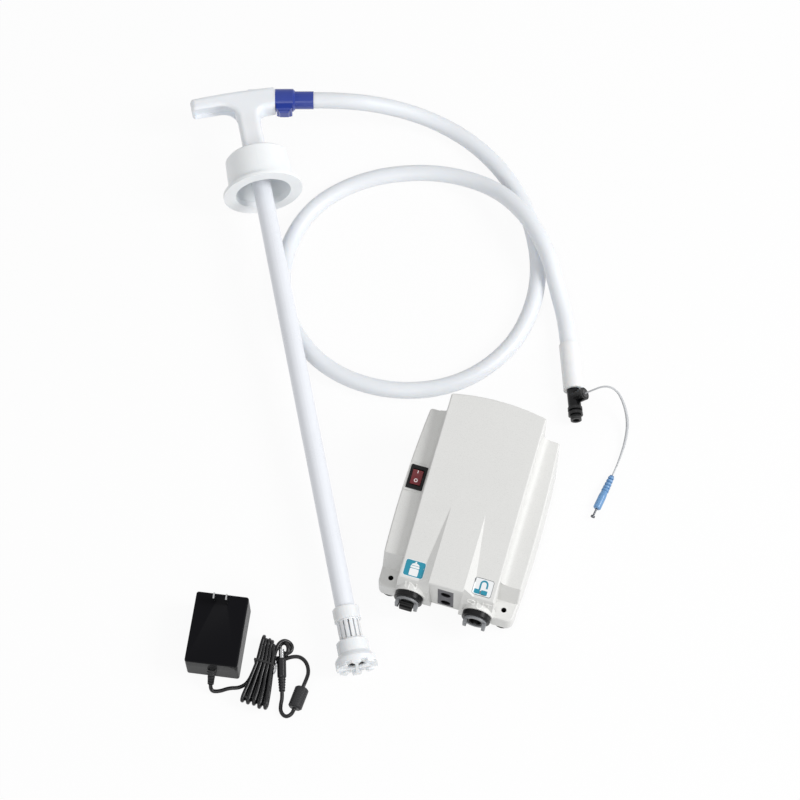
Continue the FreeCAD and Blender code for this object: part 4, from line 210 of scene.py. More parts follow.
# %% [markdown]
# Almost every piece is moulded plastic. A mould is spark-eroded, which leaves a fine grain,
# and the part comes out with slow waves of gloss. Handling polishes the edges, and fine
# specks of dirt stay in the grain. One recipe with a few dials covers all these plastics.
# %% Moulded plastic
CLOUD_SCALE, WAVE_SCALE = 26.0, 60.0      # noise cells in each metre
DIRT, POLISH = -0.45, 0.14                # how dark a speck of dirt is, how light a rubbed edge
EDGE_WEAR = 0.2                           # how far the rubbed edges go towards that tone
# The colour of painted shade deep in a hollow.
PAINTED_SHADE_BLACK = (9, 9, 10)


def shaded(colour, share):
    """That colour darker (share below 0) or lighter (above 0)."""
    if share < 0:
        return tuple(c * (1 + share) for c in colour[:3]) + (1.0,)
    return tuple(c + (1 - c) * share for c in colour[:3]) + (1.0,)


def moulded(name, colour, cloudy=0.02, rough=0.5, grain=900.0, grain_mm=0.02, wave_mm=0.0,
            speckle=0.0, gloss=0.5, side_coat=0.0, rings=None, hollow_shade=None, **more):
    """A moulded plastic: its colour, its grain, how it has aged, and painted shade in a hollow if asked.
    """
    finish = new_finish(name)
    base = linear(*colour)
    cloud = finish.noise(CLOUD_SCALE, 3.0, 0.6)
    fine = finish.noise(grain, 2.0, 0.55)
    here = finish.blend(finish.band(cloud, 0.3, 0.7), shaded(base, -cloudy), base)
    if speckle:
        dots = finish.band(finish.noise(grain * 1.7, 1.0, 0.4), 0.50, 0.72) * speckle
        here = finish.blend(dots, here, shaded(base, DIRT))
    edge = finish.node("ShaderNodeNewGeometry", output="Pointiness")
    rubbed = finish.band(edge, 0.52, 0.60) * EDGE_WEAR
    here = finish.blend(rubbed, here, shaded(base, POLISH))
    # Painted shade: past a depth along a direction the colour turns black, as the shade in a hollow.
    if hollow_shade:
        direction, begins_m, ends_m = hollow_shade
        shade_share = finish.band(finish.along(direction), begins_m, ends_m)
        here = finish.blend(shade_share, here, linear(*PAINTED_SHADE_BLACK))
    roughness = (cloud - 0.5) * 0.14 + (fine - 0.5) * 0.10 + rough - rubbed * 0.12
    normal = finish.relief(fine, grain_mm)
    if wave_mm:
        normal = finish.relief(finish.noise(WAVE_SCALE, 1.0, 0.4), wave_mm, normal)
    if rings:
        direction, pitch_mm, depth_mm = rings
        turns = finish.along(direction) * (2 * math.pi / (pitch_mm * MM))
        normal = finish.relief(turns.sine() * 0.5 + 0.5, depth_mm, normal)
    if side_coat:
        more["Coat_Weight"] = (1 - finish.band(finish.face_up(), 0.45, 0.85)) * side_coat
    return finish.show(Base_Color=here, Roughness=roughness, Normal=normal,
                       Specular_IOR_Level=gloss, **more)


print("moulded plastic ready")

# %% [markdown]
# Bare metal is a mirror with fine scratches. Turned parts are brushed round their axis, so
# their scratches are stretched one way. Duller spots show where fingers and damp have been.
# %% Metal
SCRATCH_SCALE, SPOT_SCALE = 1400.0, 90.0
SCRATCH_MM = 0.008


def metal(name, colour, rough=0.25, brushed=0.0, spots=0.15):
    """A bare metal with fine scratches and duller spots."""
    finish = new_finish(name)
    base = linear(*colour)
    where = finish.place()
    if brushed:
        where = finish.node("ShaderNodeMapping", None,
                            {"Vector": where, "Scale": (1.0, brushed, brushed)})
    scratches = finish.noise(SCRATCH_SCALE, 3.0, 0.7, where)
    dull = finish.band(finish.noise(SPOT_SCALE, 3.0, 0.6), 0.45, 0.75) * spots
    return finish.show(Base_Color=finish.blend(dull, base, shaded(base, DIRT)), Metallic=1.0,
                       Roughness=(scratches - 0.5) * 0.2 + dull * 0.6 + rough,
                       Normal=finish.relief(scratches, SCRATCH_MM))


print("metal ready")

# %% [markdown]
# The pump case is one light grey plastic with a fine sparked grain. Black plastics reflect
# less than the others, or they would look grey beside it. The sockets of the jack panel get
# painted shade: their colour turns black a little way behind the panel's face.
# %% Finishes of the case and the ports
JACK_FACE_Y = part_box("jack_panel")[0][1]
# Painted shade: the jack sockets turn black between these two depths behind the face.
SOCKET_SHADE_FROM, SOCKET_SHADE_FULL = 0.0004, 0.0012       # metres behind the face
FINISHES = {
    "case_grey": moulded("case_grey", (223, 223, 221), cloudy=0.012, rough=0.5, speckle=0.2,
                         grain_mm=0.035),
    "pan_grey": moulded("pan_grey", (176, 177, 174), rough=0.55, speckle=0.1),
    "foot_rubber": moulded("foot_rubber", (14, 14, 15), rough=0.85, grain_mm=0.05, gloss=0.1),
    "zinc_steel": metal("zinc_steel", (190, 192, 195), rough=0.35),
    "port_black": moulded("port_black", (13, 13, 15), rough=0.3, grain_mm=0.006, gloss=0.15,
                          side_coat=0.25, Coat_Roughness=0.08),
    "seal_rubber": moulded("seal_rubber", (20, 20, 21), rough=0.7, gloss=0.25),
    "clip_grey": moulded("clip_grey", (128, 130, 133), rough=0.42, gloss=0.4),
    "plug_black": moulded("plug_black", (9, 9, 10), rough=0.5, gloss=0.08),
    # The jack panel's sockets get painted shade behind its face.
    "jack_black": moulded("jack_black", (86, 86, 92), rough=0.5, gloss=0.3,
                          hollow_shade=((0, 1, 0), JACK_FACE_Y + SOCKET_SHADE_FROM, JACK_FACE_Y + SOCKET_SHADE_FULL)),
    "screw_black": moulded("screw_black", (5, 5, 6), rough=0.6, gloss=0.06),
    "switch_black": moulded("switch_black", (18, 18, 20), rough=0.38, grain_mm=0.012, gloss=0.2),
    "rocker_red": moulded("rocker_red", (104, 8, 20), rough=0.34, grain_mm=0.006, gloss=0.16),
    "pump_black": moulded("pump_black", (30, 31, 33), rough=0.5, gloss=0.3),
    "valve_white": moulded("valve_white", (214, 214, 208), rough=0.45),
    "valve_rubber": moulded("valve_rubber", (34, 34, 36), rough=0.75, gloss=0.3),
    "motor_steel": metal("motor_steel", (176, 178, 180), rough=0.3, brushed=12.0),
    "shaft_steel": metal("shaft_steel", (200, 201, 203), rough=0.18),
    "cam_metal": metal("cam_metal", (188, 182, 168), rough=0.4),
    "board_green": moulded("board_green", (26, 92, 52), rough=0.4, side_coat=0.4),
}
print("case finishes", len(FINISHES))

# %% [markdown]
# The wand, its foot and the hose are white plastics that let a little light in, so their
# shaded sides stay bright and slightly blue. The tee and its gland are polished black. The
# ferrite bead and the adapter's strain relief have fine rings round their own axis.
# %% Finishes of the wand, the hose and the adapter
FERRITE_AXIS = (0.03944, 0.99922, 0.0)
RELIEF_AXIS = (0.12643, -0.75554, -0.64279)
COOL_LIGHT = (0.8, 0.95, 1.1)               # blue light goes farther than red
LIT = {"Subsurface_Weight": 0.35, "Subsurface_Scale": 0.006, "Subsurface_Radius": COOL_LIGHT}
FINISHES.update({
    "wand_white": moulded("wand_white", (243, 247, 253), rough=0.34, grain_mm=0.012, **LIT),
    "tube_white": moulded("tube_white", (236, 239, 245), rough=0.32, grain_mm=0.008),
    "cap_white": moulded("cap_white", (250, 253, 255), rough=0.36, grain_mm=0.012,
                         Subsurface_Weight=0.15, Subsurface_Scale=0.004, Subsurface_Radius=COOL_LIGHT),
    "foot_white": moulded("foot_white", (238, 241, 244), rough=0.4, **LIT),
    "coupling_blue": moulded("coupling_blue", (14, 50, 150), rough=0.26, grain_mm=0.03, wave_mm=0.3,
                             gloss=0.3, side_coat=0.5, Coat_Roughness=0.06),
    "hose_grey": moulded("hose_grey", (234, 237, 241), rough=0.4, grain_mm=0.015, wave_mm=0.04, **LIT),
    "sleeve_white": moulded("sleeve_white", (238, 239, 240), rough=0.4, **LIT),
    "tee_black": moulded("tee_black", (10, 10, 12), rough=0.16, gloss=0.16, wave_mm=0.05,
                         Coat_Weight=0.12, Coat_Roughness=0.05),
    "gland_black": moulded("gland_black", (12, 12, 14), rough=0.14, gloss=0.3, wave_mm=0.05,
                           Coat_Weight=0.3, Coat_Roughness=0.04),
    "lead_grey": moulded("lead_grey", (186, 188, 191), rough=0.4, gloss=0.5),
    "float_plug_blue": moulded("float_plug_blue", (100, 146, 192), rough=0.3, gloss=0.6),
    "pin_dark": metal("pin_dark", (84, 86, 90), rough=0.2, spots=0.05),
    "pin_chrome": metal("pin_chrome", (176, 177, 178), rough=0.14, spots=0.05),
    "adapter_black": moulded("adapter_black", (15, 15, 18), rough=0.5, grain=1100.0, grain_mm=0.04,
                             gloss=0.05, side_coat=0.22),
    "ferrite_black": moulded("ferrite_black", (28, 28, 31), rough=0.42, gloss=0.25,
                             rings=(FERRITE_AXIS, 2.5, 0.35)),
    "cord_black": moulded("cord_black", (14, 14, 17), rough=0.2, grain_mm=0.002, gloss=0.36),
    "plug_body": moulded("plug_body", (20, 20, 23), rough=0.32, gloss=0.3),
    "relief_black": moulded("relief_black", (18, 18, 21), rough=0.4, gloss=0.25,
                            rings=(RELIEF_AXIS, 2.6, 0.5)),
    "tie_black": moulded("tie_black", (16, 16, 18), rough=0.5, gloss=0.2),
    "tie_silver": metal("tie_silver", (206, 207, 210), rough=0.3),
    "print_teal": moulded("print_teal", (26, 140, 166), cloudy=0.05, rough=0.35, grain_mm=0.01),
    "print_white": moulded("print_white", (240, 242, 243), rough=0.35, grain_mm=0.01),
    "print_dark": moulded("print_dark", (60, 66, 74), rough=0.4, grain_mm=0.01),
    "letter_grey": moulded("letter_grey", (240, 240, 238), rough=0.4, grain_mm=0.015),
    "mark_white": moulded("mark_white", (236, 226, 226), rough=0.4, grain_mm=0.01),
})
print("all finishes", len(FINISHES))

# %% [markdown]
# The soft inner tubes of the pump are silicone: milky, and light passes into them.
# Some subsurface scattering gives that look. It is set on the shader's own socket.
# %% Silicone tube
silicone = new_finish("tube_soft")
milk = silicone.noise(240.0, 2.0, 0.5)
FINISHES["tube_soft"] = silicone.show(
    Base_Color=silicone.blend(silicone.band(milk, 0.3, 0.7), linear(206, 210, 208),
                              linear(226, 229, 226)),
    Roughness=(milk - 0.5) * 0.2 + 0.35, Normal=silicone.relief(milk, 0.01),
    Subsurface_Weight=0.35, Subsurface_Scale=0.004)
print("silicone ready")

# %% [markdown]
# Each CAD node keeps its shape and takes one of these finishes. The list says which.
# A node that a finer piece stands for further down is given its finish here all the same.
# %% Finish every CAD node
NODE_FINISH = {
    "case_grey": ["top_cover"], "pan_grey": ["base_pan"],
    "foot_rubber": ["rubber_feet", "isolator_mounts"], "zinc_steel": ["pump_head_screws"],
    "screw_black": ["cover_screws"], "relief_black": ["adapter_relief"], "pin_dark": ["float_plug_pin"],
    "port_black": ["in_port_socket", "out_port_socket"], "seal_rubber": ["port_seals", "tee_seal"],
    "clip_grey": ["in_port_clip", "out_port_clip"], "plug_black": ["in_port_plug"],
    "jack_black": ["jack_panel"], "switch_black": ["switch_housing", "pressure_switch"],
    "rocker_red": ["rocker_button"], "valve_white": ["valve_plate", "wobble_plate"],
    "pump_black": ["pump_head", "pump_lower_housing", "motor_end_cap"],
    "valve_rubber": ["check_valves", "diaphragm", "foot_valve"],
    "shaft_steel": ["cam_bearing", "motor_shaft"], "cam_metal": ["eccentric_cam"],
    "motor_steel": ["motor_can"], "tube_soft": ["inlet_tube", "outlet_tube"],
    "board_green": ["control_board"], "wand_white": ["wand_handle"], "tube_white": ["suction_tube"],
    "cap_white": ["bottle_cap"], "coupling_blue": ["handle_coupling", "coupling_latch", "hose_insert"],
    "foot_white": ["foot_collar", "float_cage", "foot_base", "float_ring"], "hose_grey": ["suction_hose"],
    "sleeve_white": ["hose_sleeve"], "tee_black": ["tee_fitting"], "gland_black": ["lead_gland"],
    "lead_grey": ["float_lead"], "float_plug_blue": ["float_plug"],
    "pin_chrome": ["adapter_blades", "dc_plug_barrel"],
    "adapter_black": ["adapter_case", "adapter_lid"], "plug_body": ["dc_plug"],
    "cord_black": ["adapter_lead", "cord_hank", "plug_lead"], "tie_black": ["hank_tie"],
    "ferrite_black": ["ferrite_bead"],
}
finished = 0
for finish_name, node_names in NODE_FINISH.items():
    for node_name in node_names:
        nodes[node_name].data.materials.clear()
        nodes[node_name].data.materials.append(FINISHES[finish_name])
        finished += 1
print("CAD nodes finished", finished, "of", len(nodes))

# %% [markdown]
# A hose or cord is one smooth line with a round section. A NURBS spline through a few
# control points bends evenly, as a real cord does. The control points are the route of
# the CAD solid, in millimetres, so the cord lies where its solid lies.
# %% Cord helper
def lay_cord(name, route_mm, diameter_mm, body, finish, widths=None):
    """A round cord along a smooth line near those points."""
    curve = bpy.data.curves.new(name, "CURVE")
    curve.dimensions = "3D"
    curve.bevel_depth = diameter_mm * MM / 2
    curve.bevel_resolution = 5
    curve.resolution_u = 10
    curve.use_fill_caps = True
    spline = curve.splines.new("NURBS")
    spline.points.add(len(route_mm) - 1)
    for number, (point, (x, y, z)) in enumerate(zip(spline.points, route_mm)):
        point.co = (x * MM, y * MM, z * MM, 1.0)
        point.radius = widths[number] if widths else 1.0
    spline.order_u = 3
    spline.use_endpoint_u = True
    curve.materials.append(FINISHES[finish])
    piece = bpy.data.objects.new(name, curve)
    bpy.context.scene.collection.objects.link(piece)
    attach(piece, body)
    return piece


def line_of(piece):
    """The points of a curve's own line, in metres, read from a bare copy of it."""
    bare = bpy.data.objects.new("bare_line", piece.data.copy())
    bare.data.bevel_depth = 0
    bare.data.use_fill_caps = False
    mesh = bpy.data.meshes.new_from_object(bare)
    places = [v.co.copy() for v in mesh.vertices]
    bpy.data.meshes.remove(mesh)
    bpy.data.curves.remove(bare.data)
    return places


def run_length(places):
    return sum((b - a).length for a, b in zip(places, places[1:]))


print("cord helper ready")

# %% [markdown]
# The suction hose is a soft white tube, 18 mm thick and about 1.3 m long. It leaves the
# elbow of the wand, goes once round in a wide loop, climbs over itself in a long low hump
# and ends in the black tee. It is stiff, so its bends are wide.
# %% Suction hose
HOSE_ROUTE = [
    (-306.21, 507.00, 47.38), (-269.93, 518.30, 47.08), (-222, 536, 28), (-172, 542, 11),
    (-117, 524, 9), (-66, 486, 9), (-27, 431, 9), (-7, 366, 9), (-15, 295, 9), (-58, 235, 9),
    (-126, 206, 9), (-200, 212, 9), (-259, 257, 9), (-286, 326, 9), (-277, 397, 9),
    (-231, 450, 9), (-165, 480, 9), (-100, 479, 16), (-52, 452, 31), (-12, 412, 31),
    (14, 369, 16), (30.30, 341.79, 10.20), (40.20, 315.60, 10.20)]
hose = lay_cord("suction_hose_line", HOSE_ROUTE, 18.0, "wand", "hose_grey")
hose_length = run_length(line_of(hose))
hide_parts("suction_hose")
print("hose", round(hose_length, 3), "m")

# %% [markdown]
# The float lead is a thin grey flat wire from the branch of the tee to a small blue plug.
# It is twisted once on its way, so it shows its edge at both ends and its flat side in
# the middle. Making the round line a little wider there gives the same look.
# %% Float lead
LEAD_ROUTE = [
    (72.97, 260.63, 20.30), (77.14, 262.21, 24.32), (91.5, 271, 30.5), (104.5, 272, 24.5), (116, 262, 15),
    (124.5, 246, 7.5), (127, 226, 3.2), (126.2, 205, 2.8), (125.01, 191.92, 4.20), (123.90, 184.00, 4.20)]
LEAD_WIDTHS = [0.75, 0.75, 0.8, 0.95, 1.2, 1.4, 1.25, 0.85, 0.7, 0.7]
float_lead = lay_cord("float_lead_line", LEAD_ROUTE, 2.4, "wand", "lead_grey", LEAD_WIDTHS)
lead_length = run_length(line_of(float_lead))
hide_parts("float_lead")
print("float lead", round(lead_length, 3), "m")

# %% [markdown]
# The adapter's cord is one thin black cord from end to end. It leaves the adapter, is
# folded up and down in a flat bundle held by a tie, and ends in a round plug past a
# ferrite bead. The folds are more points of the same line. The strands lie in four layers,
# each half a strand aside of the one below, as cords do when they are pressed together.
# Nothing ties the ends of the folds, so they differ in size and spread out like a fan.
# %% Where the strands of the folded cord lie
TIE_X, TIE_Y = -155.7, -119.0
TOP_Y, LOW_Y = -96.5, -159.0
TOP_LEAN, LOW_LEAN = -0.13, -0.056      # sideways drift for each millimetre along
WAIST_STEP, TOP_STEP, LOW_STEP = 3.7, 3.2, 6.1
LAYER = 3.45
FLOOR_LINE = 2.2
FOLD_R = 3.8
MIDDLE_COLUMN = 2
ASIDE = 0.25                            # of a step, to the left or right by turns
LOW_ASIDE_LOSS, FAN_END = 0.1, 1.15
STRANDS = [  # column and layer of each strand, in the order the cord runs through them
    (0, 0), (0, 3), (0, 1), (1, 2), (1, 0), (1, 3), (1, 1), (2, 2), (2, 0), (2, 3), (2, 1),
    (3, 2), (3, 0), (3, 3), (3, 1), (4, 3), (4, 1), (4, 2), (4, 0)]
SPIRAL_AFTER = 16        # after this strand the cord makes two free turns beside the bundle


def strand_point(column, layer, y):
    """Where a strand passes at that distance along the bundle."""
    above = y >= TIE_Y
    share = (y - TIE_Y) / (TOP_Y - TIE_Y) if above else min(FAN_END, (TIE_Y - y) / (TIE_Y - LOW_Y))
    step = WAIST_STEP + ((TOP_STEP if above else LOW_STEP) - WAIST_STEP) * share
    middle = TIE_X + (TOP_LEAN if above else LOW_LEAN) * (y - TIE_Y)
    aside = (ASIDE if layer % 2 else -ASIDE) * (1 if above else 1 - LOW_ASIDE_LOSS * share)
    return Vector((middle + (column - MIDDLE_COLUMN + aside) * step, y, FLOOR_LINE + layer * LAYER))


print("waist", [round(c, 1) for c in strand_point(0, 0, TIE_Y)], "to",
      [round(c, 1) for c in strand_point(4, 3, TIE_Y)])

# %% [markdown]
# A smooth line passes inside its control points. To make a round fold, the points stand on
# the corners of an eight-sided ring round it, with one more before and after.
# %% Fold helper
HALF_TURN = 22.5            # degrees, half of the angle from one corner to the next
LEAD_IN = 0.83              # of the fold's radius


def fold(near, far, out, reach, radius):
    """A turn from one strand to the next: points round a circle of that radius or more."""
    across = far - near
    across.y = 0
    half = max(across.length / 2, radius)
    across.normalize()
    middle = (near + far) / 2
    middle.z = max(middle.z, FLOOR_LINE + half * abs(across.z))
    middle.y = reach - out * half
    corner = half / math.cos(math.radians(HALF_TURN))
    points = []
    for turn in (-3, -1, 1, 3):
        angle = math.radians(turn * HALF_TURN)
        forward = Vector((0, out * corner * math.cos(angle), 0))
        points.append(middle + across * (corner * math.sin(angle)) + forward)
    lead_in = Vector((0, -out * LEAD_IN * half, 0))
    return [points[0] + lead_in] + points + [points[-1] + lead_in]


print("fold points", len(fold(Vector((0, 0, 2)), Vector((0, 0, 9)), 1, 10, FOLD_R)))

# %% [markdown]
# Beside the bundle's upper end the cord makes two small free turns, one inside the other,
# that pass under the barrel of the plug. They are listed point by point.
# %% The folded cord
SPIRAL = [
    (-149.0, -101.8, 8.8), (-148.4, -94.8, 9.4), (-145.0, -89.2, 7.0), (-139.6, -88.2, 3.6),
    (-135.2, -91.4, 2.2), (-134.9, -97.0, 2.2), (-138.4, -100.6, 2.2), (-143.6, -100.4, 2.2),
    (-147.2, -97.4, 2.8), (-147.2, -93.0, 3.6), (-143.8, -90.8, 5.2), (-139.6, -92.6, 6.4),
    (-137.5, -97.2, 6.2), (-137.4, -101.8, 5.0), (-139.8, -104.7, 2.6), (-144.4, -107.4, 3.0)]
STRAND_YS = [-146.0, -133.0, -119.0, -107.0]
FIRST_Y = -137.0                        # where the cord comes in from the adapter
AFTER_SPIRAL_Y = -112.0
TIED_SLACK, FREE_SLACK = 0.15, 0.6      # how far a strand strays, near the tie and elsewhere
NEAR_TIE = 10
TOP_PAST_FIRST, TOP_PAST, TOP_INNER_LESS = 4.8, 2.6, 4.0
LOW_PAST_OUTER, LOW_PAST_INNER, LOW_SLANT = 5.4, 1.0, 0.5


def fold_reach(column, layer, upwards, chance):
    """How far a fold reaches. The outer folds go round the inner ones."""
    if upwards:
        past = TOP_PAST_FIRST if column == 0 else TOP_PAST
        return TOP_Y + past - (0 if layer == 0 else TOP_INNER_LESS) + chance.uniform(-0.7, 0.7)
    past = LOW_PAST_OUTER if layer == 3 else LOW_PAST_INNER
    return LOW_Y - past + chance.uniform(-1.0, 2.0) + LOW_SLANT * abs(column - 1)


def folded_cord():
    """The control points of all strands, first one upwards."""
    chance = random.Random(11)
    route = []
    upwards = True
    for number, (column, layer) in enumerate(STRANDS):
        along = list(STRAND_YS)
        if number == 0:
            along[0] = FIRST_Y
        if number == SPIRAL_AFTER + 1:
            along[-1] = AFTER_SPIRAL_Y
        if number + 1 == len(STRANDS):
            along = along[:3]
        for y in along if upwards else reversed(along):
            point = strand_point(column, layer, y)
            loose = TIED_SLACK if abs(y - TIE_Y) < NEAR_TIE else FREE_SLACK
            route.append(point + Vector((chance.uniform(-loose, loose), 0, 0)))
        if number == SPIRAL_AFTER:
            route += [Vector(point) for point in SPIRAL]
        elif number + 1 < len(STRANDS):
            end_y = TOP_Y if upwards else LOW_Y
            near = strand_point(column, layer, end_y)
            far = strand_point(*STRANDS[number + 1], end_y)
            reach = fold_reach(column, layer, upwards, chance)
            route += fold(near, far, 1 if upwards else -1, reach, FOLD_R)
        upwards = not upwards
    return [tuple(point) for point in route]


print("strands", len(STRANDS), "points", len(folded_cord()))

# %% [markdown]
# The line as a whole starts in the adapter's strain relief, runs through the folds, arches
# over beside them, passes through the ferrite bead and turns back into the plug.
# %% Adapter cord
INTO_FOLDS = [
    (-200.25, -154.89, 7.68), (-199.2, -160.6, 3.1), (-191, -158.6, 2.2), (-182, -151.8, 2.2),
    (-173.0, -149.0, 2.2), (-167.4, -143.4, 2.2)]
OUT_OF_FOLDS = [
    (-146.2, -111.6, 2.2), (-139.6, -107.4, 2.2), (-132.2, -101.6, 2.2), (-124.2, -99.4, 2.2),
    (-116.0, -103.6, 2.2), (-110.9, -112.8, 2.6), (-110.6, -122.6, 5.6), (-110.98, -130.0, 7.2),
    (-112.10, -155.0, 7.2), (-113.4, -161.4, 5.4), (-118.8, -164.6, 2.8), (-125.2, -160.4, 2.3),
    (-127.4, -152.4, 2.3), (-127.67, -147.26, 2.58), (-130.10, -140.20, 3.30)]
adapter_cord = lay_cord("adapter_cord_line", INTO_FOLDS + folded_cord() + OUT_OF_FOLDS, 4.0,
                        "adapter", "cord_black")
cord_length = run_length(line_of(adapter_cord))
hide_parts("adapter_lead", "cord_hank", "plug_lead")
print("adapter cord", round(cord_length, 3), "m")

# %% [markdown]
# The plug has a ribbed sleeve where the cord enters it, so the cord cannot be bent sharply
# there. It is a turned shape: one outline of ribs and grooves, spun round the plug's axis.
# %% Ribbed sleeve of the plug
PLUG_END = Vector((-130.10, -140.20, 3.30))
PLUG_AXIS = Vector((-0.32439, 0.94097, 0.09663))
SPUN_CORNERS = 32
RIB_ROUND = 0.12            # how much a rib is rounded off, in millimetres
PLUG_WAIST = [(14.2, 4.1), (15.4, 4.55), (17.6, 4.55), (19.2, 4.1), (19.8, 3.2)]


def circle(bm, middle, side, up, radius, corners):
    """A loop of points round a middle, all in millimetres."""
    angles = [2 * math.pi * corner / corners for corner in range(corners)]
    return [bm.verts.new((middle + (side * math.cos(a) + up * math.sin(a)) * radius) * MM)
            for a in angles]


def stitch(bm, loops):
    """Faces from each loop to the next, and one over each end."""
    for first, second in zip(loops, loops[1:]):
        for step in range(len(first)):
            after = (step + 1) % len(first)
            bm.faces.new((first[step], first[after], second[after], second[step]))
    bm.faces.new(loops[0])
    bm.faces.new(loops[-1])


def mesh_piece(name, bm, finish, body):
    """The finished object of a mesh, riding on its body."""
    bmesh.ops.recalc_face_normals(bm, faces=bm.faces)
    mesh = bpy.data.meshes.new(name)
    bm.to_mesh(mesh)
    bm.free()
    mesh.materials.append(FINISHES[finish])
    piece = bpy.data.objects.new(name, mesh)
    bpy.context.scene.collection.objects.link(piece)
    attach(piece, body)
    return piece


def spun(name, outline, origin, axis, finish, body):
    """Spin an outline of (along, radius) pairs in millimetres round an axis."""
    side = axis.orthogonal().normalized()
    up = side.cross(axis)
    bm = bmesh.new()
    stitch(bm, [circle(bm, origin + axis * along, side, up, radius, SPUN_CORNERS)
                for along, radius in outline])
    return mesh_piece(name, bm, finish, body)


def ribbed(length, ribs, first_r, last_r, groove=0.75):
    """The outline of a sleeve with ribs, from its thin end to its thick end."""
    pitch = length / ribs
    outline = [(0.0, first_r - groove)]
    profile = ((0.05, groove), (0.2, RIB_ROUND), (0.3, 0), (0.62, 0), (0.72, RIB_ROUND), (0.87, groove))
    for rib in range(ribs):
        rise = first_r + (last_r - first_r) * rib / (ribs - 1)
        outline += [(rib * pitch + share * pitch, rise - drop) for share, drop in profile]
    return outline + [(length, last_r - groove)]


plug_outline = ribbed(length=13.6, ribs=5, first_r=3.2, last_r=4.0, groove=0.9) + PLUG_WAIST
plug_sleeve = spun("plug_sleeve", plug_outline, PLUG_END, PLUG_AXIS, "plug_body", "adapter")
print("plug sleeve", len(plug_sleeve.data.polygons))

# %% [markdown]
# The adapter's strain relief is the same kind of sleeve, so the same outline makes it. It
# points down and out, along the first stretch of the cord.
# %% Ribbed sleeve of the adapter
RELIEF_ROOT = Vector((-202.09, -143.93, 17.00))
RELIEF_LENGTH = 14.3
RELIEF_END = RELIEF_ROOT + Vector(RELIEF_AXIS) * RELIEF_LENGTH
relief_sleeve = spun("adapter_sleeve", ribbed(length=11.5, ribs=4, first_r=3.2, last_r=4.0),
                     RELIEF_END, -Vector(RELIEF_AXIS), "plug_body", "adapter")
print("adapter sleeve", len(relief_sleeve.data.polygons))

# %% [markdown]
# The blue plug at the end of the float lead is held by its teeth, four thin discs that stand
# out of the CAD plug. One outline makes them all, and its thin parts stay hidden inside.
# %% Teeth of the float plug
FLOAT_PLUG_END = Vector((123.90, 184.00, 4.20))
FLOAT_PLUG_AXIS = Vector((-0.13917, -0.99027, 0.0))
TEETH = [(1.6, 3.2), (5.4, 3.4), (9.2, 3.6), (13.0, 3.8)]      # where each begins, and its radius
ROOT_R = 1.6
TOOTH, EDGE = 2.0, 0.2                  # width of a tooth, and of its rounded edge
teeth_outline = []
for begin, radius in TEETH:
    end = begin + TOOTH
    teeth_outline += [(begin, ROOT_R), (begin, radius - EDGE), (begin + EDGE, radius),
                      (end - EDGE, radius), (end, radius - EDGE), (end, ROOT_R)]
plug_teeth = spun("float_plug_teeth", teeth_outline, FLOAT_PLUG_END, FLOAT_PLUG_AXIS,
                  "float_plug_blue", "wand")
print("float plug teeth", len(plug_teeth.data.polygons))

# %% [markdown]
# The two screw holes at the front go through the pads and the feet below. A black rubber
# liner with a thin floor stands in each hole as painted shade, so the hole reads dark.
# %% Painted shade in the screw holes
HOLE_X = 59.5
HOLE_SHADE_OUT_R, HOLE_SHADE_IN_R = 2.65, 2.3
HOLE_SHADE_LOW, HOLE_SHADE_TOP, HOLE_SHADE_FLOOR = 0.6, 24.8, 0.6
HOLE_SHADE_LENGTH = HOLE_SHADE_TOP - HOLE_SHADE_LOW
hole_shade_outline = [(0.0, HOLE_SHADE_OUT_R), (HOLE_SHADE_LENGTH, HOLE_SHADE_OUT_R),
                  (HOLE_SHADE_LENGTH, HOLE_SHADE_IN_R), (HOLE_SHADE_FLOOR, HOLE_SHADE_IN_R)]
# Each dark liner is painted shade in its hole.
for side_name, hole_x in (("left", -HOLE_X), ("right", HOLE_X)):
    spun("hole_shade_" + side_name, hole_shade_outline, Vector((hole_x, 0, HOLE_SHADE_LOW)),
         Vector((0, 0, 1)), "foot_rubber", "pump")
print("hole sleeves at", HOLE_X)

# %% [markdown]
# The bundle is held by a wire tie. Its band is a CAD node, and its twisted ends stick out
# beside the bundle. Two thin wires wound round one another show the twist, so each is a
# helix along the same short path.
# %% Twisted ends of the tie
TAIL_PATH = [
    (-145.2, -114.2, 12.4), (-142.9, -118.2, 11.0), (-141.8, -123.2, 9.0), (-143.3, -126.6, 7.6)]
TAIL_WIRE_R, TAIL_WIRE_CORNERS = 0.42, 8
TAIL_TWIST_R, TAIL_TURNS = 0.5, 5
TAIL_LOOPS = 60
NEAR = 0.01                 # share of the path used to find its direction


def tail_spot(share):
    """A point of the smooth path through the four points."""
    a, b, c, d = [Vector(p) for p in TAIL_PATH]
    rest = 1 - share
    return a * rest ** 3 + b * 3 * rest ** 2 * share + c * 3 * rest * share ** 2 + d * share ** 3


def twisted_tail():
    bm = bmesh.new()
    for phase in (0.0, math.pi):
        loops = []
        for step in range(TAIL_LOOPS + 1):
            share = step / TAIL_LOOPS
            ahead = (tail_spot(min(1, share + NEAR)) - tail_spot(max(0, share - NEAR))).normalized()
            side = ahead.cross(Vector((0, 0, 1))).normalized()
            up = side.cross(ahead)
            turn = phase + share * TAIL_TURNS * 2 * math.pi
            middle = tail_spot(share) + (side * math.cos(turn) + up * math.sin(turn)) * TAIL_TWIST_R
            loops.append(circle(bm, middle, side, up, TAIL_WIRE_R, TAIL_WIRE_CORNERS))
        stitch(bm, loops)
    for face in bm.faces:
        face.smooth = True
    return mesh_piece("tie_tail", bm, "tie_silver", "adapter")


tail = twisted_tail()
print("tie tail faces", len(tail.data.polygons))

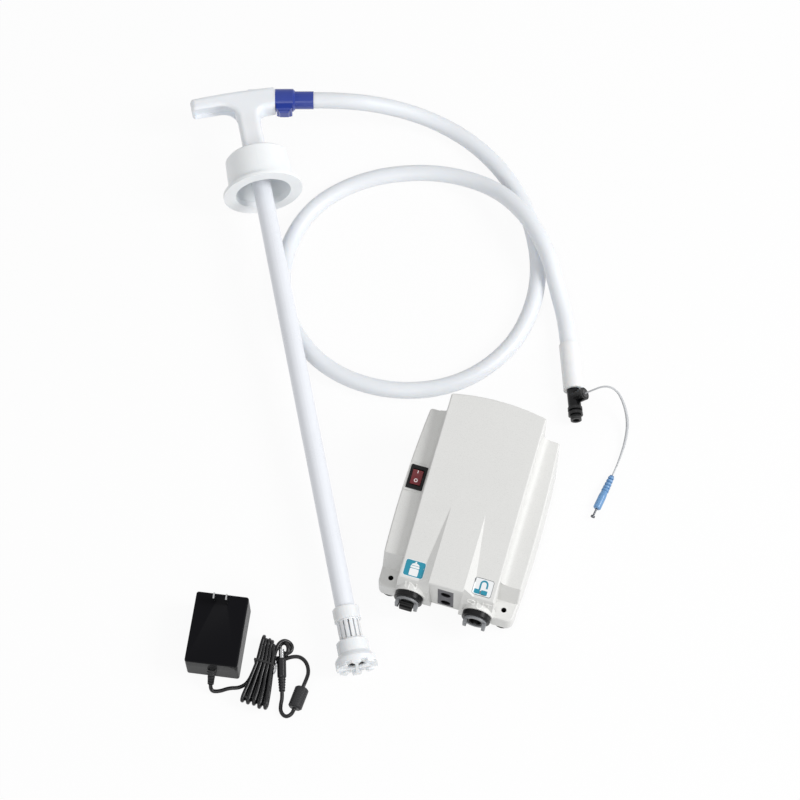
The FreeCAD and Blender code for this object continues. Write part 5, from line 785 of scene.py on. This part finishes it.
# %% [markdown]
# Printed pictograms and raised letters follow the curved surface that carries them. Each
# flat shape is cut into small cells and dropped onto the CAD surface along a direction.
# A ray finds where it lands, and a thin slab is left there, a little proud.
# %% Thin shapes on a surface
FALL_BACK_M = 0.05          # where a point ends up whose ray finds nothing


def flat_cells(loops, cell):
    """A flat mesh of those outlines, cut along a grid so that it can follow a curve."""
    bm = bmesh.new()
    for loop in loops:
        bm.faces.new([bm.verts.new((u, v, 0)) for u, v in loop])
    return cut_cells(bm, cell)


def cut_cells(bm, cell):
    """The same flat mesh, cut into cells of that size."""
    bmesh.ops.triangulate(bm, faces=bm.faces)
    for axis in (0, 1):
        places = [v.co[axis] for v in bm.verts]
        line = math.floor(min(places) / cell) * cell + cell
        while line < max(places):
            point, direction = [0, 0, 0], [0, 0, 0]
            point[axis], direction[axis] = line, 1
            bmesh.ops.bisect_plane(bm, geom=bm.verts[:] + bm.edges[:] + bm.faces[:],
                                   plane_co=point, plane_no=direction, dist=1e-5)
            line += cell
    return bm


def drop_on(name, bm, start, direction, carrier, lift_mm, thick_mm, finish, body):
    """Drop a flat mesh on a CAD node's surface, as a thin slab of that finish."""
    surface = BVHTree.FromObject(nodes[carrier], bpy.context.evaluated_depsgraph_get())
    missed = 0
    for vertex in bm.verts:
        place = start(vertex.co.x, vertex.co.y)
        hit = surface.ray_cast(place, direction)[0]
        if hit is None:
            missed += 1
            hit = place + direction * FALL_BACK_M
        vertex.co = hit - direction * (lift_mm * MM)
    for face in bm.faces:
        face.normal_update()
        if face.normal.dot(direction) > 0:
            face.normal_flip()
    bmesh.ops.solidify(bm, geom=bm.faces[:], thickness=thick_mm * MM)
    piece = mesh_piece(name, bm, finish, body)
    print(name, "faces", len(piece.data.polygons), "missed", missed)


print("thin shapes ready")

# %% [markdown]
# Three kinds of outline make all the marks: a rectangle with round corners, a band drawn
# along a line, and a ring. Each one is a plain loop of points.
# %% Outlines for the pictograms
def rounded(u0, v0, u1, v1, radius, steps=6):
    """A rectangle with round corners, as a loop of points."""
    loop = []
    for cu, cv, begin in ((u1 - radius, v0 + radius, -90), (u1 - radius, v1 - radius, 0),
                          (u0 + radius, v1 - radius, 90), (u0 + radius, v0 + radius, 180)):
        for step in range(steps + 1):
            angle = math.radians(begin + 90 * step / steps)
            loop.append((cu + radius * math.cos(angle), cv + radius * math.sin(angle)))
    return loop


def stroke(line, width):
    """A band of that width along a line of points, as one loop."""
    left, right = [], []
    for number, (u, v) in enumerate(line):
        before = line[max(0, number - 1)]
        after = line[min(len(line) - 1, number + 1)]
        du, dv = after[0] - before[0], after[1] - before[1]
        size = math.hypot(du, dv)
        left.append((u - dv / size * width / 2, v + du / size * width / 2))
        right.append((u + dv / size * width / 2, v - du / size * width / 2))
    return left + right[::-1]


def ring(cu, cv, outer, inner, steps=24):
    """A ring as two half loops."""
    halves = []
    for begin in (0, 180):
        arc = [math.radians(begin + 180 * step / steps) for step in range(steps + 1)]
        halves.append([(cu + outer * math.cos(a), cv + outer * math.sin(a)) for a in arc]
                      + [(cu + inner * math.cos(a), cv + inner * math.sin(a)) for a in reversed(arc)])
    return halves


print("outline of", len(rounded(0, 0, 1, 1, 0.2)), "points")

# %% [markdown]
# Two pictograms tell which port is which: a bottle over the inlet, and a tap over the
# outlet. They are drawn in millimetres, with their lower left corner at zero.
# %% Bottle pictogram over the inlet
DOWN = Vector((0, 0, -1))
START_M = 0.12              # higher than the case
PRINT_CELL, PRINT_THICK = 1.5, 0.5
COATS = (0.08, 0.12, 0.16, 0.18)        # how far each coat of print stands out, first to last


def above(x0, y0):
    """A start high over the case for each point of a flat mesh."""
    return lambda u, v: Vector(((x0 + u) * MM, (y0 + v) * MM, START_M))


def pictogram(name, loops, corner, lift_mm, finish):
    """One coat of print on the case, with its lower left corner at that place."""
    drop_on(name, flat_cells(loops, PRINT_CELL), above(*corner), DOWN, "top_cover",
            lift_mm, PRINT_THICK, finish, "pump")


INLET_CORNER = (-46.6, -3.0)
pictogram("inlet_border", [rounded(0, 0, 21.4, 16.4, 2.4)], INLET_CORNER, COATS[0], "print_white")
pictogram("inlet_square", [rounded(0.5, 0.5, 20.9, 15.9, 2.0)], INLET_CORNER, COATS[1], "print_teal")
BOTTLE = [
    rounded(6.1, 1.4, 15.3, 8.3, 1.0),
    rounded(6.1, 8.8, 15.3, 10.8, 0.6),
    [(6.5, 11.2), (14.9, 11.2), (14.4, 12.4), (12.2, 13.5), (9.2, 13.5), (7.0, 12.4)],
    rounded(9.8, 13.3, 11.6, 15.1, 0.3)]
pictogram("inlet_bottle", BOTTLE, INLET_CORNER, COATS[2], "print_white")

# %% [markdown]
# The tap is a bent band over two blocks. Its bend is an arc of points between two straight
# ends, so the band keeps its width all the way round.
# %% Tap pictogram over the outlet
OUTLET_CORNER = (25.4, -2.4)
pictogram("outlet_border", [rounded(0, 0, 19.8, 16.6, 2.2)], OUTLET_CORNER, COATS[0], "print_dark")
pictogram("outlet_square", [rounded(0.45, 0.45, 19.35, 16.15, 1.8)], OUTLET_CORNER, COATS[1],
          "print_white")
bend = [math.radians(degrees) for degrees in range(15, 180, 15)]
spout = [(7.0, 5.6), (7.0, 10.9)]
spout += [(10.4 - 3.4 * math.cos(a), 11.1 + 3.3 * math.sin(a)) for a in bend]
spout += [(13.8, 10.9), (13.8, 7.6)]
pictogram("outlet_tap", [stroke(spout, 1.8)], OUTLET_CORNER, COATS[2], "print_teal")
pictogram("outlet_blocks", [rounded(1.8, 1.3, 7.8, 5.7, 0.3), rounded(9.0, 1.3, 15.4, 5.7, 0.3)],
          OUTLET_CORNER, COATS[2], "print_teal")
pictogram("outlet_band", [rounded(7.9, 1.3, 8.9, 4.6, 0.2), rounded(9.6, 1.0, 14.4, 1.7, 0.2)],
          OUTLET_CORNER, COATS[3], "print_dark")

# %% [markdown]
# The words IN and OUT stand out of the steep band over each port. The letters come from
# Blender's own plain type, turned into a mesh, and are dropped square to that band.
# %% Raised letters over the ports
BAND_OUT = Vector((0, -0.905, 0.425))
BAND_UP = Vector((0, 0.425, 0.905))
BAND_Y, BAND_Z = -8.0, 44.6             # the middle of the words
START_AWAY = 20                         # millimetres off the band, where the letters start
LETTER_SIZE, LETTER_CELL = 6.8, 1.2
LETTER_LIFT, LETTER_THICK = 0.7, 1.1
PORT_X = 35.5


def raised_word(word, x, stretch):
    """A word of raised letters over a port."""
    type_curve = bpy.data.curves.new("word", "FONT")
    type_curve.body = word
    type_curve.size = LETTER_SIZE
    type_curve.align_x = "CENTER"
    type_curve.align_y = "CENTER"
    type_curve.space_character = 1.1
    holder = bpy.data.objects.new("word", type_curve)
    flat = bpy.data.meshes.new_from_object(holder)
    bm = bmesh.new()
    bm.from_mesh(flat)
    bpy.data.objects.remove(holder)
    bpy.data.meshes.remove(flat)
    middle = Vector((x, BAND_Y, BAND_Z)) + BAND_OUT * START_AWAY

    def start(u, v):
        return (middle + Vector((u * stretch, 0, 0)) + BAND_UP * v) * MM

    drop_on("letters_" + word.lower(), cut_cells(bm, LETTER_CELL), start, -BAND_OUT,
            "top_cover", LETTER_LIFT, LETTER_THICK, "letter_grey", "pump")


raised_word("IN", -PORT_X, stretch=2.0)
raised_word("OUT", PORT_X, stretch=1.75)

# %% [markdown]
# The rocker carries a short stroke for on and a ring for off, printed in white. They sit
# on the rocker itself, so they tilt with it.
# %% Marks of the rocker
ROCKER_MIDDLE = (-60.7, 94.6)
MARK_CELL, MARK_THICK = 1.0, 0.3
ON_MARK = [rounded(-0.45, 2.6, 0.45, 6.2, 0.3)]
OFF_MARK = ring(0.0, -4.2, 1.9, 1.15)
for mark_name, mark in (("rocker_mark_on", ON_MARK), ("rocker_mark_off", OFF_MARK)):
    drop_on(mark_name, flat_cells(mark, MARK_CELL), above(*ROCKER_MIDDLE), DOWN, "rocker_button",
            COATS[0], MARK_THICK, "mark_white", "rocker")

# %% [markdown]
# Product photographs are lit by large soft boxes. One stands far off to the right, so it
# lights the near and the far end alike and leaves the left faces of the case in shade.
# The world fills the rest. Together they give a level surface about its own colour.
# %% Lights
def soft_box(name, place, target, size, watts):
    """A lamp as large as that, which looks from its place at a target."""
    lamp = bpy.data.lights.new(name, "AREA")
    lamp.shape = "RECTANGLE"
    lamp.size, lamp.size_y = size
    lamp.energy = watts
    box = bpy.data.objects.new(name, lamp)
    box.location = place
    ahead = (Vector(target) - Vector(place)).normalized()
    box.rotation_euler = ahead.to_track_quat("-Z", "Y").to_euler()
    bpy.context.scene.collection.objects.link(box)


soft_box("key_right", place=(2.3, 0.55, 2.0), target=(-0.05, 0.15, 0.0), size=(1.4, 1.4), watts=62.0)
soft_box("fill_front", place=(0.1, -1.9, 2.0), target=(-0.1, 0.1, 0.0), size=(1.6, 1.0), watts=14.0)

# %% [markdown]
# The background of the photograph is pure white. The world and the floor show as white to
# the camera and in reflections, and give only soft light otherwise. The floor keeps a
# little of the shadow that its plain shader catches.
# %% World and floor
WORLD_LIGHT = 0.48
FLOOR_GLOW = 0.93
FLOOR_HALF, FLOOR_GAP = 6.0, 0.0005
world = bpy.data.worlds.new("studio")
bpy.context.scene.world = world
air = Finish(world)


def seen_directly(finish):
    """1 for the camera, for a reflection and for light through glass, 0 for plain light."""
    camera_ray = finish.node("ShaderNodeLightPath", output="Is Camera Ray")
    glossy_ray = finish.node("ShaderNodeLightPath", output="Is Glossy Ray")
    glass_ray = finish.node("ShaderNodeLightPath", output="Is Transmission Ray")
    return camera_ray.or_more(glossy_ray).or_more(glass_ray)


sky = air.node("ShaderNodeBackground", None,
               {"Color": (1, 1, 1, 1), "Strength": seen_directly(air) * (1 - WORLD_LIGHT) + WORLD_LIGHT})
air.node("ShaderNodeOutputWorld", None, {0: sky})

paper = new_finish("studio_floor")
weave = paper.band(paper.noise(300.0, 2.0, 0.5), 0.2, 0.8)
matt = paper.node("ShaderNodeBsdfDiffuse", None,
                  {"Color": paper.blend(weave, (0.84, 0.84, 0.84, 1), (0.88, 0.88, 0.88, 1))})
glow = paper.node("ShaderNodeEmission", None, {"Color": (1, 1, 1, 1), "Strength": 1.0})
mixed = paper.node("ShaderNodeMixShader", None, {0: seen_directly(paper) * FLOOR_GLOW, 1: matt, 2: glow})
paper.node("ShaderNodeOutputMaterial", None, {0: mixed})

floor_mesh = bpy.data.meshes.new("floor")
floor_mesh.from_pydata([(-FLOOR_HALF, -FLOOR_HALF, 0), (FLOOR_HALF, -FLOOR_HALF, 0),
                        (FLOOR_HALF, FLOOR_HALF, 0), (-FLOOR_HALF, FLOOR_HALF, 0)], [], [(0, 1, 2, 3)])
floor_mesh.materials.append(paper.owner)
floor = bpy.data.objects.new("floor", floor_mesh)
floor.location.z = -FLOOR_GAP
bpy.context.scene.collection.objects.link(floor)
bpy.context.scene.view_settings.view_transform = "Standard"
print("world and floor ready")

# %% [markdown]
# The last step updates the view layer.
# %% Last update
bpy.context.view_layer.update()
